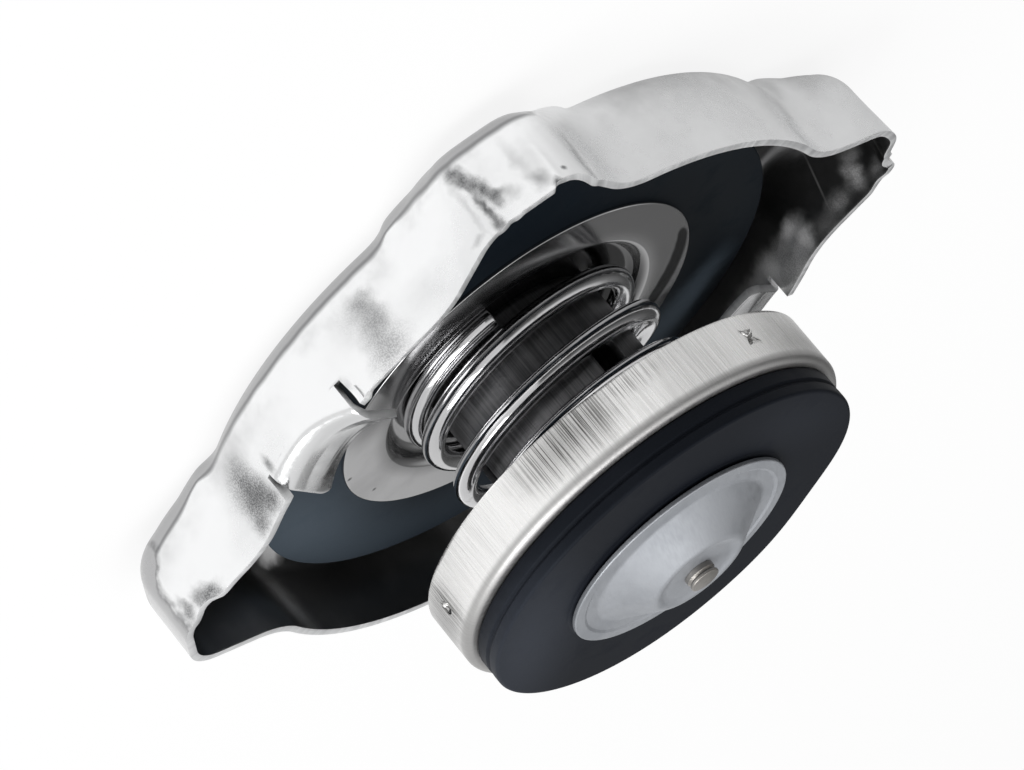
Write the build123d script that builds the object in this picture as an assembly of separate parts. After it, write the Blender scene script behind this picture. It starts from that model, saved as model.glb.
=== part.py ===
from build123d import *
from math import ceil, cos, hypot, pi, radians, sin, sqrt, tan
import os

# Pressure cap for the filler neck of a radiator.
# It stands on its crown: Z = 0 is the flat of the crown, +Z runs along the axis to the valve.
# Sizes in millimetres, angles in degrees from the middle of the first grip lobe.

os.makedirs("parts", exist_ok=True)

# Shell
sheet = 0.9                  # plated steel of the shell
skirt_radius = 34.6          # outside of the skirt between the grip lobes
shell_height = 11.2          # crown to the free edge of the skirt
crown_flat = skirt_radius - 1.6    # radius where the flat of the crown ends
crown_drop = 2.4             # slope of the crown away from its flat, at the tip of a lobe
crown_radius = 3.8           # outside rounding from crown to skirt
lobe_count = 4
lobe_rise = 8.3              # skirt to the tip of a lobe
lobe_reach = skirt_radius + lobe_rise
lobe_tip_half = 4.8          # half width of the tip before rounding
lobe_flank_angle = 30.0      # lean of a flank from the middle of its lobe
lobe_tip_radius = 0.62 * lobe_rise
lobe_root_radius = 1.08 * lobe_rise
field_radius = crown_flat - 6.2    # sunk middle of the crown, at its floor
field_depth = 3.3
field_draft = 8.0
field_floor_radius = 1.2
field_rim_radius = 1.0

# Bayonet tongues
tongue_count = 2
start_angle = 38.2           # sides of the tongue at the skirt
end_angle = 58.5
tip_start_angle = 39.4       # and at its free edge
tip_end_angle = 65.8
tongue_inner_radius = skirt_radius - 7.1    # free edge of the ledge
low_angle = 52.0             # the ledge is lowest here
tongue_level = shell_height - 1.2  # crown to the outer face of the ledge, there
tongue_bend = 1.9            # outside radius of the bend
tongue_root = 0.4            # upright strip of the tongue below its slits
tongue_setback = 0.05        # the strip is drawn in from the skirt
tongue_rise_start = 2.1      # the ledge stands higher at its sides
tongue_rise_end = 0.9
bead_radius = tongue_inner_radius + 2.1     # stiffening bead along the ledge
bead_half_width = 1.2
bead_height = 0.45
start_slit_angle = 2.2       # slits beside the tongue
end_slit_angle = 1.3
slit_depth = 2.9             # from the free edge of the skirt

# Neck seal under the shell
gasket_outer = skirt_radius - 4.3
gasket_thickness = 1.5

# Centre rivet
rivet_radius = 3.5
rivet_head_radius = 6.4
rivet_head_height = 1.7
rivet_tail_radius = 5.2
rivet_tail_height = 1.3

# Barrel
barrel_radius = 9.0
barrel_sheet = 0.8
barrel_corner = 1.4
foot_overhang = 0.7          # flange at the foot of the barrel
slot_count = 3
slot_width = 3.0
slot_length = 8.8
slot_top = 12.0              # crown to the near end of a slot
slot_first = -29.5

# Collar of the valve
collar_sheet = 0.7
collar_corner = 0.9
collar_bore = barrel_radius + foot_overhang + 0.2

# Main spring
wire = 2.3
coil_play = 0.45             # between the collar and the coil
coil_radius = collar_bore + collar_sheet + coil_play + wire / 2    # to the middle of the wire
coil_pitch = 5.1
coil_lean = 1.5              # the free coils lean towards the wire end
opening_turns = 1.4          # turns over which the pitch opens, at the disc
closing_turns = 0.8          # and closes, at the valve
wire_end_angle = 11.0
coil_points = 12             # corners of the wire's path in one turn

# Spring disc
disc_sheet = 0.4
dish_radius = coil_radius + wire / 2 + 2.15     # edge of the dish, at its top
disc_radius = dish_radius + 5.4
dish_corner = 0.9
dish_lean = 22.0
gasket_inner = dish_radius + 1.1

# Valve cup
reach = 25.3                 # face of the neck seal to face of the pressure seal
cup_radius = 22.3
cup_sheet = 0.8
cup_height = 6.2
cup_mouth_radius = cup_radius - 1.65
cup_corner = 1.45
stake_count = 3
stake_first = -39.5
stake_radius = 1.1
stake_dent = 0.7

# Plate in the cup
plate_sheet = 0.8
plate_gap = 0.1              # to the wall of the cup
vent_count = 6
vent_radius = 1.5
vent_circle = 6.4
valve_travel = 2.3           # pressure valve, from closed to its stop on the foot
collar_seat_radius = coil_radius + 1.8

# Pressure seal
seal_radius = cup_radius - 1.05
seal_thickness = 3.2         # outside the cup
seal_hole = 10.4
seal_back_radius = cup_radius - cup_sheet - 0.3
seal_back_thickness = 1.1    # inside the cup
seal_lip_radius = 12.0       # raised seat of the vacuum valve
seal_lip_height = 0.34
seal_lip_slope = 0.85
seal_groove = 0.3

# Vacuum valve
poppet_radius = 12.66
poppet_sheet = 0.5
poppet_foot_radius = 9.8
poppet_crest_radius = 5.1
poppet_height = 2.9          # flange to crest
poppet_groove = 0.15
poppet_land_radius = 4.1
poppet_land_drop = 0.45
poppet_foot_corner = 0.7
poppet_crest_corner = 0.8
stem_radius = 1.25
stem_shoulder_radius = 2.2
stem_shoulder_height = 1.0
stem_head_radius = 1.6
stem_head_height = 1.3
stem_head_groove = 0.2
stem_tail_radius = 1.9
stem_tail_height = 0.6
keeper_radius = 4.2
keeper_sheet = 0.7
keeper_lip = 0.6
vacuum_wire = 0.6
vacuum_coil_radius = 2.9
vacuum_spring_length = 4.2
vacuum_turns = 4.0
vacuum_coil_points = 8

# Clearances
running_fit = 0.1            # turning and sliding fits, on the radius
axial_play = 0.05
seat_gap = 0.05              # rubber to its metal seat
spring_gap = 0.02            # end coil to its seat

# Levels along the axis
platform = field_depth + sheet
gasket_face = platform + gasket_thickness
dish_floor = platform + axial_play + disc_sheet
barrel_floor = dish_floor + barrel_sheet
seal_face = gasket_face + reach
cup_mouth = seal_face - seal_thickness
cup_rim = cup_mouth - cup_height
seal_back = cup_mouth - cup_sheet
plate_under = seal_back - seal_back_thickness
plate_top = plate_under - plate_sheet
collar_seat = plate_top - collar_sheet
barrel_foot = plate_top - valve_travel
lip_level = barrel_foot - barrel_sheet
poppet_under = seal_face + seal_lip_height + seat_gap
poppet_face = poppet_under + poppet_sheet
poppet_crest = poppet_face + poppet_height
poppet_land = poppet_crest - poppet_land_drop
keeper_seat = plate_top - vacuum_spring_length


def polar(radius, angle):
    return (radius * cos(radians(angle)), radius * sin(radians(angle)))


def place_around(shape, count, first=0.0):
    """Copies of a shape at equal steps about the axis."""
    return [shape.rotate(Axis.Z, first + 360.0 / count * i) for i in range(count)]


def turned(corners):
    """Solid of revolution from corners (radius, height), or (radius, height, rounding)."""
    face = make_face(Polyline(*[corner[:2] for corner in corners], close=True))
    for corner in corners:
        if len(corner) == 3:
            face = fillet(face.vertices().sort_by_distance(corner[:2])[0], corner[2])
    return revolve(Plane.XZ * face, Axis.Z)


# Cap shell

def grip_outline():
    """Round skirt with its lobes, every corner a tangent arc."""
    slope = tan(radians(lobe_flank_angle))
    base_x = 0.85 * skirt_radius
    base_half = lobe_tip_half + slope * (lobe_reach - base_x)
    lobe = make_face(Polyline((base_x, -base_half), (lobe_reach, -lobe_tip_half),
                              (lobe_reach, lobe_tip_half), (base_x, base_half), close=True))
    outline = Circle(skirt_radius)
    for copy in place_around(lobe, lobe_count):
        outline += copy
    middle = 0.5 * (skirt_radius + lobe_reach)
    outline = fillet([v for v in outline.vertices() if hypot(v.X, v.Y) > middle], lobe_tip_radius)
    roots = [v for v in outline.vertices() if abs(hypot(v.X, v.Y) - skirt_radius) < 0.01]
    return fillet(roots, lobe_root_radius)


def bowl(outline, depth, rounding):
    """Prism of an outline under the sloping crown, set in by a depth, its rim rounded."""
    span = lobe_reach - crown_flat
    slope_radius = (span ** 2 + crown_drop ** 2) / (2 * crown_drop)
    limit = lobe_reach + 2 * sheet
    drop = slope_radius - sqrt(slope_radius ** 2 - (limit - crown_flat) ** 2)
    arc = RadiusArc((crown_flat, 0), (limit, drop), -slope_radius)
    profile = Wire([Line((0, 0), (crown_flat, 0)), arc, Line((limit, drop), (limit, 2 * shell_height)),
                    Line((limit, 2 * shell_height), (0, 2 * shell_height)), Line((0, 2 * shell_height), (0, 0))])
    profile = make_face(profile)
    dome = revolve(Plane.XZ * profile, Axis.Z)
    body = extrude(outline, shell_height) & dome
    rim = [edge for edge in body.edges()
           if 0.001 * sheet < edge.bounding_box().max.Z < 1.5 * crown_drop]
    return Pos(0, 0, depth) * fillet(rim, rounding)


def sunk_field(radius, depth, rounding):
    """Round plug that forms the sunk middle of the crown."""
    mouth = radius + depth * tan(radians(field_draft))
    return turned([(0, 0), (mouth, 0), (radius, depth, rounding), (0, depth)])


def tongue_section(angle):
    """Bent strip with its bead in the radial plane at one angle."""
    if angle < low_angle:
        share = (low_angle - angle) / (low_angle - tip_start_angle)
        level = tongue_level + tongue_rise_start * share ** 2
    else:
        share = (angle - low_angle) / (tip_end_angle - low_angle)
        level = tongue_level + tongue_rise_end * share ** 2
    bead = max(0.05, cos(pi * min(share, 1.0) / 2)) * bead_height
    root = shell_height - slit_depth - tongue_root
    outside = skirt_radius - tongue_setback
    inside = outside - sheet
    bend_r = outside - tongue_bend
    bend_z = level - tongue_bend
    under = level - sheet
    edge = tongue_inner_radius
    near = bead_radius - bead_half_width
    far = bead_radius + bead_half_width
    line = [
        Line((inside, root), (outside, root)),
        Line((outside, root), (outside, bend_z)),
        CenterArc((bend_r, bend_z), tongue_bend, 0, 90),
        Line((bend_r, level), (far, level)),
        ThreePointArc((far, level), (bead_radius, level + bead), (near, level)),
        Line((near, level), (edge, level)),
        Line((edge, level), (edge, under)),
        Line((edge, under), (near, under)),
        ThreePointArc((near, under), (bead_radius, under + bead), (far, under)),
        Line((far, under), (bend_r, under)),
        CenterArc((bend_r, bend_z), tongue_bend - sheet, 90, -90),
        Line((inside, bend_z), (inside, root)),
    ]
    return make_face(Plane.XZ * Wire(line)).rotate(Axis.Z, angle)


def bayonet_tongue():
    """Ledge that hooks under the cam of the neck, higher at both sides, trimmed to its blank."""
    steps = 6
    start = start_angle - 2.0
    sweep_angle = tip_end_angle + 2.0 - start
    strip = loft([tongue_section(start + sweep_angle * i / steps) for i in range(steps + 1)])
    outer = skirt_radius + 1.0
    inner = tongue_inner_radius - 1.0
    blank = make_face(Polyline(polar(outer, start_angle), polar(outer, end_angle),
                               polar(inner, tip_end_angle), polar(inner, tip_start_angle), close=True))
    return strip & extrude(blank, 2 * shell_height)


def skirt_gap():
    """Stretch of the skirt that the tongue and its two slits take up."""
    foot = shell_height - slit_depth
    near = skirt_radius - 3 * sheet
    far = skirt_radius + sheet
    block = make_face(Plane.XZ * Polyline((near, foot), (far, foot), (far, 2 * shell_height),
                                          (near, 2 * shell_height), close=True))
    start = start_angle - start_slit_angle
    return revolve(block, Axis.Z, end_angle + end_slit_angle - start).rotate(Axis.Z, start)


def make_shell():
    outline = grip_outline()
    mouth = field_radius + field_depth * tan(radians(field_draft))
    body = bowl(outline, 0, crown_radius) - sunk_field(field_radius, field_depth, field_floor_radius)
    rim = [edge for edge in body.edges().filter_by(GeomType.CIRCLE)
           if abs(edge.radius - mouth) < 0.01 and abs(edge.arc_center.Z) < 0.01]
    body = fillet(rim, field_rim_radius)

    wall = sheet / cos(radians(field_draft)) - sheet * tan(radians(field_draft))
    inside = bowl(offset(outline, -sheet), sheet, crown_radius - sheet)
    body -= inside - sunk_field(field_radius + wall, platform, field_floor_radius + sheet)
    body -= Cylinder(rivet_radius + running_fit, 4 * platform)
    for gap in place_around(skirt_gap(), tongue_count):
        body -= gap
    for tongue in place_around(bayonet_tongue(), tongue_count):
        body += tongue
    return body


def make_gasket():
    return turned([(gasket_inner, platform), (gasket_outer, platform), (gasket_outer, gasket_face),
                   (gasket_inner, gasket_face)])


# Turning column

def make_disc():
    """Dished disc: its rim lies on the gasket, its floor just clears the shell."""
    floor = platform + axial_play
    lean = (gasket_face - floor) * tan(radians(dish_lean))
    top = gasket_face + disc_sheet
    step = disc_sheet * (1 / cos(radians(dish_lean)) - tan(radians(dish_lean)))
    outer_corner = dish_corner + disc_sheet
    return turned([(rivet_radius, floor), (dish_radius - lean, floor, outer_corner),
                   (dish_radius, gasket_face, dish_corner), (disc_radius, gasket_face), (disc_radius, top),
                   (dish_radius - step, top, outer_corner), (dish_radius - step - lean, dish_floor, dish_corner),
                   (rivet_radius, dish_floor)])


def make_rivet():
    """Loose head in the sunk field, shank through the shell, tail spread on the barrel floor."""
    head_top = field_depth - axial_play
    head_low = head_top - rivet_head_height
    tail = barrel_floor + rivet_tail_height
    return turned([(0, head_low), (rivet_head_radius, head_low, 0.7 * rivet_head_height),
                   (rivet_head_radius, head_top), (rivet_radius, head_top), (rivet_radius, barrel_floor),
                   (rivet_tail_radius, barrel_floor), (rivet_tail_radius, tail, 0.7 * rivet_tail_height),
                   (0, tail)])


def make_barrel():
    """Drawn barrel with a closed floor on the disc, flow slots and a flange at its foot."""
    bore = barrel_radius - barrel_sheet
    flange = barrel_radius + foot_overhang
    barrel = turned([(rivet_radius, dish_floor), (barrel_radius, dish_floor, barrel_corner),
                     (barrel_radius, lip_level), (flange, lip_level), (flange, barrel_foot),
                     (bore, barrel_foot), (bore, barrel_floor, barrel_corner - barrel_sheet),
                     (rivet_radius, barrel_floor)])
    slot = Rot(0, 90, 0) * extrude(SlotOverall(slot_length, slot_width), 2 * barrel_radius)
    slot = Pos(0, 0, slot_top + slot_length / 2) * slot
    for copy in place_around(slot, slot_count, slot_first):
        barrel -= copy
    return barrel


# Valve assembly

def make_cup():
    """Band with one rounded edge turned in over the back of the seal, staked above the plate."""
    inner = cup_radius - cup_sheet
    band = turned([(cup_mouth_radius, seal_back), (inner, seal_back, cup_corner - cup_sheet), (inner, cup_rim),
                   (cup_radius, cup_rim), (cup_radius, cup_mouth, cup_corner), (cup_mouth_radius, cup_mouth)])
    overhang = cup_sheet + plate_gap
    stake_z = plate_top - axial_play - sqrt(stake_radius ** 2 - overhang ** 2)
    skin = Cylinder(cup_radius, 4 * cup_mouth)
    bump = (Pos(cup_radius, 0, stake_z) * Sphere(stake_radius)) & skin
    dent = Pos(cup_radius, 0, stake_z) * Sphere(stake_dent)
    for copy in place_around(bump, stake_count, stake_first):
        band += copy
    for copy in place_around(dent, stake_count, stake_first):
        band -= copy
    return band


def make_plate():
    bore = stem_radius + running_fit
    rim = cup_radius - cup_sheet - plate_gap
    plate = turned([(bore, plate_top), (rim, plate_top), (rim, plate_under), (bore, plate_under)])
    vent = Pos(vent_circle, 0, 0) * Cylinder(vent_radius, 4 * plate_under)
    for copy in place_around(vent, vent_count):
        plate -= copy
    return plate


def make_collar():
    """Collar whose lip catches the foot of the barrel, with a seat for the spring."""
    outside = collar_bore + collar_sheet
    top = lip_level - collar_sheet
    mouth = barrel_radius + running_fit
    return turned([(mouth, top), (outside, top, collar_corner), (outside, collar_seat),
                   (collar_seat_radius, collar_seat), (collar_seat_radius, plate_top), (collar_bore, plate_top),
                   (collar_bore, lip_level), (mouth, lip_level)])


def make_seal():
    """Rubber ring: a back flange in the cup, a neck in its mouth, a thick flange outside."""
    neck = cup_mouth_radius - seat_gap
    back_top = plate_under + seat_gap
    back_end = seal_back - seat_gap
    bevel = cup_corner - cup_sheet
    front = cup_mouth + seat_gap
    middle = front + 0.55 * (seal_face - front)
    lip_top = seal_face + seal_lip_height
    return turned([(seal_hole, back_top), (seal_back_radius, back_top), (seal_back_radius, back_end - bevel),
                   (seal_back_radius - bevel, back_end), (neck, back_end), (neck, front),
                   (seal_radius, front, seal_groove), (seal_radius, middle - seal_groove),
                   (seal_radius - seal_groove, middle), (seal_radius, middle + seal_groove),
                   (seal_radius, seal_face, seal_groove), (seal_lip_radius + seal_lip_slope, seal_face),
                   (seal_lip_radius, lip_top), (seal_hole, lip_top)])


def make_poppet():
    """Pressed disc: flat flange, shallow groove, coned dome and a sunk land for the stem."""
    groove_r = 0.5 * (poppet_radius + poppet_foot_radius)
    sheet_r = 1.2 * poppet_sheet
    return turned([(poppet_radius, poppet_under), (poppet_radius, poppet_face),
                   (groove_r + 2 * poppet_groove, poppet_face), (groove_r, poppet_face - poppet_groove),
                   (poppet_foot_radius, poppet_face - poppet_groove, poppet_foot_corner),
                   (poppet_crest_radius, poppet_crest, poppet_crest_corner),
                   (poppet_land_radius, poppet_land, poppet_crest_corner), (stem_radius, poppet_land),
                   (stem_radius, poppet_land - poppet_sheet),
                   (poppet_land_radius + 0.3 * sheet_r, poppet_land - poppet_sheet),
                   (poppet_crest_radius - 0.3 * sheet_r, poppet_crest - sheet_r),
                   (poppet_foot_radius - sheet_r, poppet_under)])


def make_stem():
    """Stem with a head on the land of the poppet, a shoulder under it and a spread tail."""
    shoulder = poppet_land - poppet_sheet
    tail_top = keeper_seat - keeper_sheet
    tail_end = tail_top - stem_tail_height
    head = poppet_land + stem_head_height
    middle = poppet_land + 0.55 * stem_head_height
    return turned([(0, tail_end), (stem_tail_radius, tail_end, 0.5 * stem_tail_height),
                   (stem_tail_radius, tail_top), (stem_radius, tail_top),
                   (stem_radius, shoulder - stem_shoulder_height),
                   (stem_shoulder_radius, shoulder - stem_shoulder_height), (stem_shoulder_radius, shoulder),
                   (stem_radius, shoulder), (stem_radius, poppet_land), (stem_head_radius, poppet_land),
                   (stem_head_radius, middle - stem_head_groove), (stem_head_radius - stem_head_groove, middle),
                   (stem_head_radius, middle + stem_head_groove), (stem_head_radius, head, stem_head_groove),
                   (0, head)])


def make_keeper():
    """Shallow cupped washer held by the spread tail of the stem."""
    under = keeper_seat - keeper_sheet
    lip = keeper_seat + keeper_lip
    inner = keeper_radius - keeper_sheet
    return turned([(stem_radius, under), (keeper_radius, under, 0.5 * keeper_sheet), (keeper_radius, lip),
                   (inner, lip), (inner, keeper_seat), (stem_radius, keeper_seat)])


# Springs

def coiled_wire(thickness, radius, height_at, turns, first_angle, corners):
    """Wire swept along short straight runs joined by tangent arcs."""
    count = ceil(turns * corners)
    points = []
    for i in range(count + 1):
        turn = turns * i / count
        points.append(Vector(*polar(radius, first_angle + 360 * turn), height_at(turn)))
    radii = []
    for a, b, c in zip(points, points[1:], points[2:]):
        bend = radians((b - a).get_angle(c - b))
        radii.append(0.45 * min((b - a).length, (c - b).length) / tan(bend / 2))
    path = FilletPolyline(*points, radius=radii)
    section = Plane(path @ 0, z_dir=path % 0) * Circle(thickness / 2)
    return sweep(section, path)


def make_main_spring():
    """Closed at both ends, open pitch between, the free coils leaning to one side."""
    low = dish_floor + wire / 2 + spring_gap
    high = collar_seat - wire / 2 - spring_gap
    ends = (opening_turns + closing_turns) / 2
    turns = (high - low) / coil_pitch + ends

    def rise(turn):
        if turn < opening_turns:
            return coil_pitch * turn ** 2 / (2 * opening_turns)
        if turn > turns - closing_turns:
            return high - low - coil_pitch * (turns - turn) ** 2 / (2 * closing_turns)
        return coil_pitch * (turn - opening_turns / 2)

    def height_at(turn):
        free = sin(pi * min(turn / (turns - ends / 2), 1.0)) ** 1.5
        return low + rise(turn) + coil_lean * free * cos(2 * pi * turn)

    return coiled_wire(wire, coil_radius, height_at, turns, wire_end_angle, coil_points)


def make_vacuum_spring():
    low = keeper_seat + vacuum_wire / 2 + spring_gap
    high = plate_top - vacuum_wire / 2 - spring_gap

    def height_at(turn):
        return low + (high - low) * turn / vacuum_turns

    return coiled_wire(vacuum_wire, vacuum_coil_radius, height_at, vacuum_turns, 0.0, vacuum_coil_points)


parts = {
    "cap_shell": make_shell(),
    "upper_gasket": make_gasket(),
    "spring_disc": make_disc(),
    "centre_rivet": make_rivet(),
    "bell_barrel": make_barrel(),
    "main_spring": make_main_spring(),
    "bell_retainer": make_collar(),
    "valve_plate": make_plate(),
    "valve_cup": make_cup(),
    "pressure_seal": make_seal(),
    "vacuum_valve": make_poppet(),
    "vacuum_stem": make_stem(),
    "vacuum_spring": make_vacuum_spring(),
    "keeper_washer": make_keeper(),
}

for name, solid in parts.items():
    export_step(solid, f"parts/{name}.step")
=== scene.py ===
"""Look of a pressure cap for a radiator neck, built around its fixed CAD frame.

The cap stands on its crown. Angles run round the axis from the middle of the first grip
lobe, heights run up the axis from the crown. Sizes are in millimetres until a mesh is made.
"""

from __future__ import annotations

import logging
import math
from abc import ABC, abstractmethod
from dataclasses import dataclass
from enum import Enum
from functools import reduce
from typing import Sequence

import bmesh
import bpy
import numpy as np
from mathutils import Matrix

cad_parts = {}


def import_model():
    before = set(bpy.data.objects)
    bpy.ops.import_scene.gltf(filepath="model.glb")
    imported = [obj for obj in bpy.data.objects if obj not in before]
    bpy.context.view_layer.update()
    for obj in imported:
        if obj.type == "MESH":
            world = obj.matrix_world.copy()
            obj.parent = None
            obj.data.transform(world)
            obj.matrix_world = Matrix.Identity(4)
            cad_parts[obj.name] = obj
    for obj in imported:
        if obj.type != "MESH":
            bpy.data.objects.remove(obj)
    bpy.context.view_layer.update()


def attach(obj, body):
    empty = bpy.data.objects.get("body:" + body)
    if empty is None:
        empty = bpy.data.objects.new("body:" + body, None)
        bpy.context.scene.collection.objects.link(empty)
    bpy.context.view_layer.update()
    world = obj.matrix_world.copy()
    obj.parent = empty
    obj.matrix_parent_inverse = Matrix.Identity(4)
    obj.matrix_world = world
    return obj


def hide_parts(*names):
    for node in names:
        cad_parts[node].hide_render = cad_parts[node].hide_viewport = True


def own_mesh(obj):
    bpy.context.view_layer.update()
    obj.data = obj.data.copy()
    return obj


LOG = logging.getLogger("radiator_cap")
MM = 0.001
TURN = 2.0 * math.pi
PLAIN_EDGE = 0.06      # rounding of a section's corner that names none
RUN_SHARE = 0.46       # most of a run that an arc may take up
GUARD_SHARE = 0.35     # from an arc to the point that keeps its run flat, in radii of the arc
STRAIGHT = 1.55        # half angle in radians from which a corner counts as straight
ROW_STEP = 2.0         # longest run between two rows of a turned piece
WELD = 2e-7            # metres between points that are one
FAR_INSIDE = -9.0      # place on the shell's map of all that lies inside the strip
FAR_BELOW = 20.0       # place on the shell's map of the tongues and the free edge
LEVEL_RAYS = 0.55      # sine up to which rays meet the straight sides of a slot

Corner = tuple[float, ...]
Colour = tuple[float, float, float]
Socket = bpy.types.NodeSocket


# ---------------------------------------------------------------- surfaces


def unit(vectors: np.ndarray) -> np.ndarray:
    """Vectors along the last axis, each divided by its length."""
    return vectors / np.linalg.norm(vectors, axis=-1, keepdims=True)


def rounded(corners: Sequence[Corner], closed: bool = True, steps: int = 5) -> np.ndarray:
    """Outline of straight runs whose corners are arcs.

    An arc of radius r touches both runs at r / tan(half the corner's angle) from the corner.
    A point a little beyond each touch keeps the shading of the flat runs flat.

    Args:
        corners: (radius, height) or (radius, height, rounding) of each corner.
        closed: whether the last corner joins the first.
        steps: segments of an arc.

    Returns:
        Points (n, 2) along the outline.
    """
    spots = np.array([corner[:2] for corner in corners], float)
    radii = [corner[2] if len(corner) > 2 else PLAIN_EDGE for corner in corners]
    runs: list[np.ndarray] = []
    last = len(spots) - 1
    for index, (here, radius) in enumerate(zip(spots, radii)):
        if radius <= 0 or (not closed and index in (0, last)):
            runs.append(here[None])
            continue
        back = spots[index - 1] - here
        ahead = spots[(index + 1) % len(spots)] - here
        room = RUN_SHARE * min(np.linalg.norm(back), np.linalg.norm(ahead))
        back, ahead = unit(back), unit(ahead)
        half = 0.5 * math.acos(float(np.clip(back @ ahead, -1.0, 1.0)))
        if half > STRAIGHT:
            runs.append(here[None])
            continue
        radius = min(radius, room * math.tan(half))
        touch = radius / math.tan(half)
        guard = min(GUARD_SHARE * radius, room - touch)
        centre = here + unit(back + ahead) * radius / math.sin(half)
        first, second = here + back * touch - centre, here + ahead * touch - centre
        start = math.atan2(first[1], first[0])
        sweep = (math.atan2(second[1], second[0]) - start + math.pi) % TURN - math.pi
        angles = start + sweep * np.linspace(0.0, 1.0, steps + 1)
        arc = centre + radius * np.stack([np.cos(angles), np.sin(angles)], axis=-1)
        runs.append(np.concatenate([(here + back * (touch + guard))[None], arc,
                                    (here + ahead * (touch + guard))[None]]))
    points = np.concatenate(runs)
    keep = np.ones(len(points), bool)
    keep[1:] = np.linalg.norm(np.diff(points, axis=0), axis=1) > 1e-6
    return points[keep]


def refine(profile: np.ndarray, step: float) -> np.ndarray:
    """Profile with extra points wherever two neighbours lie further apart than a step."""
    gaps = np.linalg.norm(np.diff(profile, axis=0), axis=1)
    counts = np.maximum(1, np.ceil(gaps / step)).astype(int)
    place = np.concatenate([[0.0], np.cumsum(counts)])
    samples = np.arange(int(place[-1]) + 1)
    return np.stack([np.interp(samples, place, profile[:, 0]),
                     np.interp(samples, place, profile[:, 1])], axis=-1)


def carried_round(profile: np.ndarray, angles: np.ndarray) -> np.ndarray:
    """Grid of points: radius and height of a profile, turned to every angle (radians)."""
    return lifted(on_circle(profile[:, 0, None], angles), profile[:, 1, None] + 0.0 * angles)


def on_circle(radius: np.ndarray | float, turn: np.ndarray) -> np.ndarray:
    """Plan points at a radius and at angles in radians."""
    return np.stack([radius * np.cos(turn), radius * np.sin(turn)], axis=-1)


def lifted(plan: np.ndarray, height: np.ndarray) -> np.ndarray:
    """Plan points, repeated where they are fewer, at their heights."""
    return np.concatenate([np.broadcast_to(plan, (*height.shape, 2)), height[..., None]], axis=-1)


def full_turn(count: int) -> np.ndarray:
    """Equal angles (radians) of one turn, without its end."""
    return np.arange(count) * (TURN / count)


def bell(distance: np.ndarray | float, width: float) -> np.ndarray:
    """Smooth bump: e to the minus square of distance over width."""
    return np.exp(-np.square(np.asarray(distance) / width))


def smooth(value: np.ndarray | float, low: float, high: float) -> np.ndarray:
    """0 below low, 1 above high, and 3t^2 - 2t^3 between them."""
    share = np.clip((np.asarray(value) - low) / (high - low), 0.0, 1.0)
    return share * share * (3.0 - 2.0 * share)


def away(angles: np.ndarray, middle: float) -> np.ndarray:
    """Signed degrees from a middle angle to each angle, the short way round."""
    return (np.asarray(angles) - middle + 180.0) % 360.0 - 180.0


class Patchwork:
    """Grids of points that are welded into one mesh where their borders meet."""

    def __init__(self, name: str) -> None:
        """Starts an empty mesh of that name."""
        self.name = name
        self.points: list[np.ndarray] = []
        self.faces: list[np.ndarray] = []
        self.maps: list[np.ndarray] = []
        self.count = 0

    def add(self, grid: np.ndarray, ring: bool = False, loop: bool = False,
            uv: np.ndarray | None = None) -> "Patchwork":
        """Adds a grid of quads.

        Args:
            grid: points (rows, columns, 3) in millimetres.
            ring: whether the last column joins the first.
            loop: whether the last row joins the first.
            uv: map coordinates (rows, columns, 2) of the points, where the piece has a map.

        Returns:
            The patchwork itself.
        """
        rows, columns = grid.shape[:2]
        index = np.arange(rows * columns).reshape(rows, columns) + self.count
        if ring:
            index = np.concatenate([index, index[:, :1]], axis=1)
        if loop:
            index = np.concatenate([index, index[:1]], axis=0)
        quads = np.stack([index[:-1, :-1], index[:-1, 1:], index[1:, 1:], index[1:, :-1]], axis=-1)
        self.points.append(grid.reshape(-1, 3))
        self.faces.append(quads.reshape(-1, 4))
        self.maps.append(np.zeros((rows * columns, 2)) if uv is None else uv.reshape(-1, 2))
        self.count += rows * columns
        return self

    def build(self, mapped: bool = False) -> bpy.types.Object:
        """Welds the grids and links the piece into the scene, smooth and facing outwards.

        Args:
            mapped: whether the piece keeps a UV map.

        Returns:
            The new object, at the origin, in metres.
        """
        points, faces = np.concatenate(self.points) * MM, np.concatenate(self.faces)
        mesh = bpy.data.meshes.new(self.name)
        mesh.from_pydata(points.tolist(), [], faces.tolist())
        if mapped:
            layer = mesh.uv_layers.new(name="UVMap")
            corners = np.zeros(len(mesh.loops), dtype=np.int32)
            mesh.loops.foreach_get("vertex_index", corners)
            chart = np.concatenate(self.maps)[corners].astype(np.float32)
            layer.data.foreach_set("uv", chart.ravel())
        shape = bmesh.new()
        shape.from_mesh(mesh)
        bmesh.ops.remove_doubles(shape, verts=shape.verts, dist=WELD)
        bmesh.ops.recalc_face_normals(shape, faces=shape.faces)
        shape.to_mesh(mesh)
        shape.free()
        mesh.shade_smooth()
        piece = bpy.data.objects.new(self.name, mesh)
        bpy.context.scene.collection.objects.link(piece)
        return piece


def turned_piece(name: str, corners: Sequence[Corner], columns: int, steps: int = 5) -> bpy.types.Object:
    """Closed solid of revolution.

    Args:
        name: name of the piece.
        corners: corners of its section, as rounded() takes them.
        columns: steps round the axis.
        steps: segments of an arc.

    Returns:
        The new object.
    """
    profile = rounded(corners, steps=steps)
    profile = refine(np.concatenate([profile, profile[:1]]), ROW_STEP)[:-1]
    grid = carried_round(profile, full_turn(columns))
    return Patchwork(name).add(grid, ring=True, loop=True).build()


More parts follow.
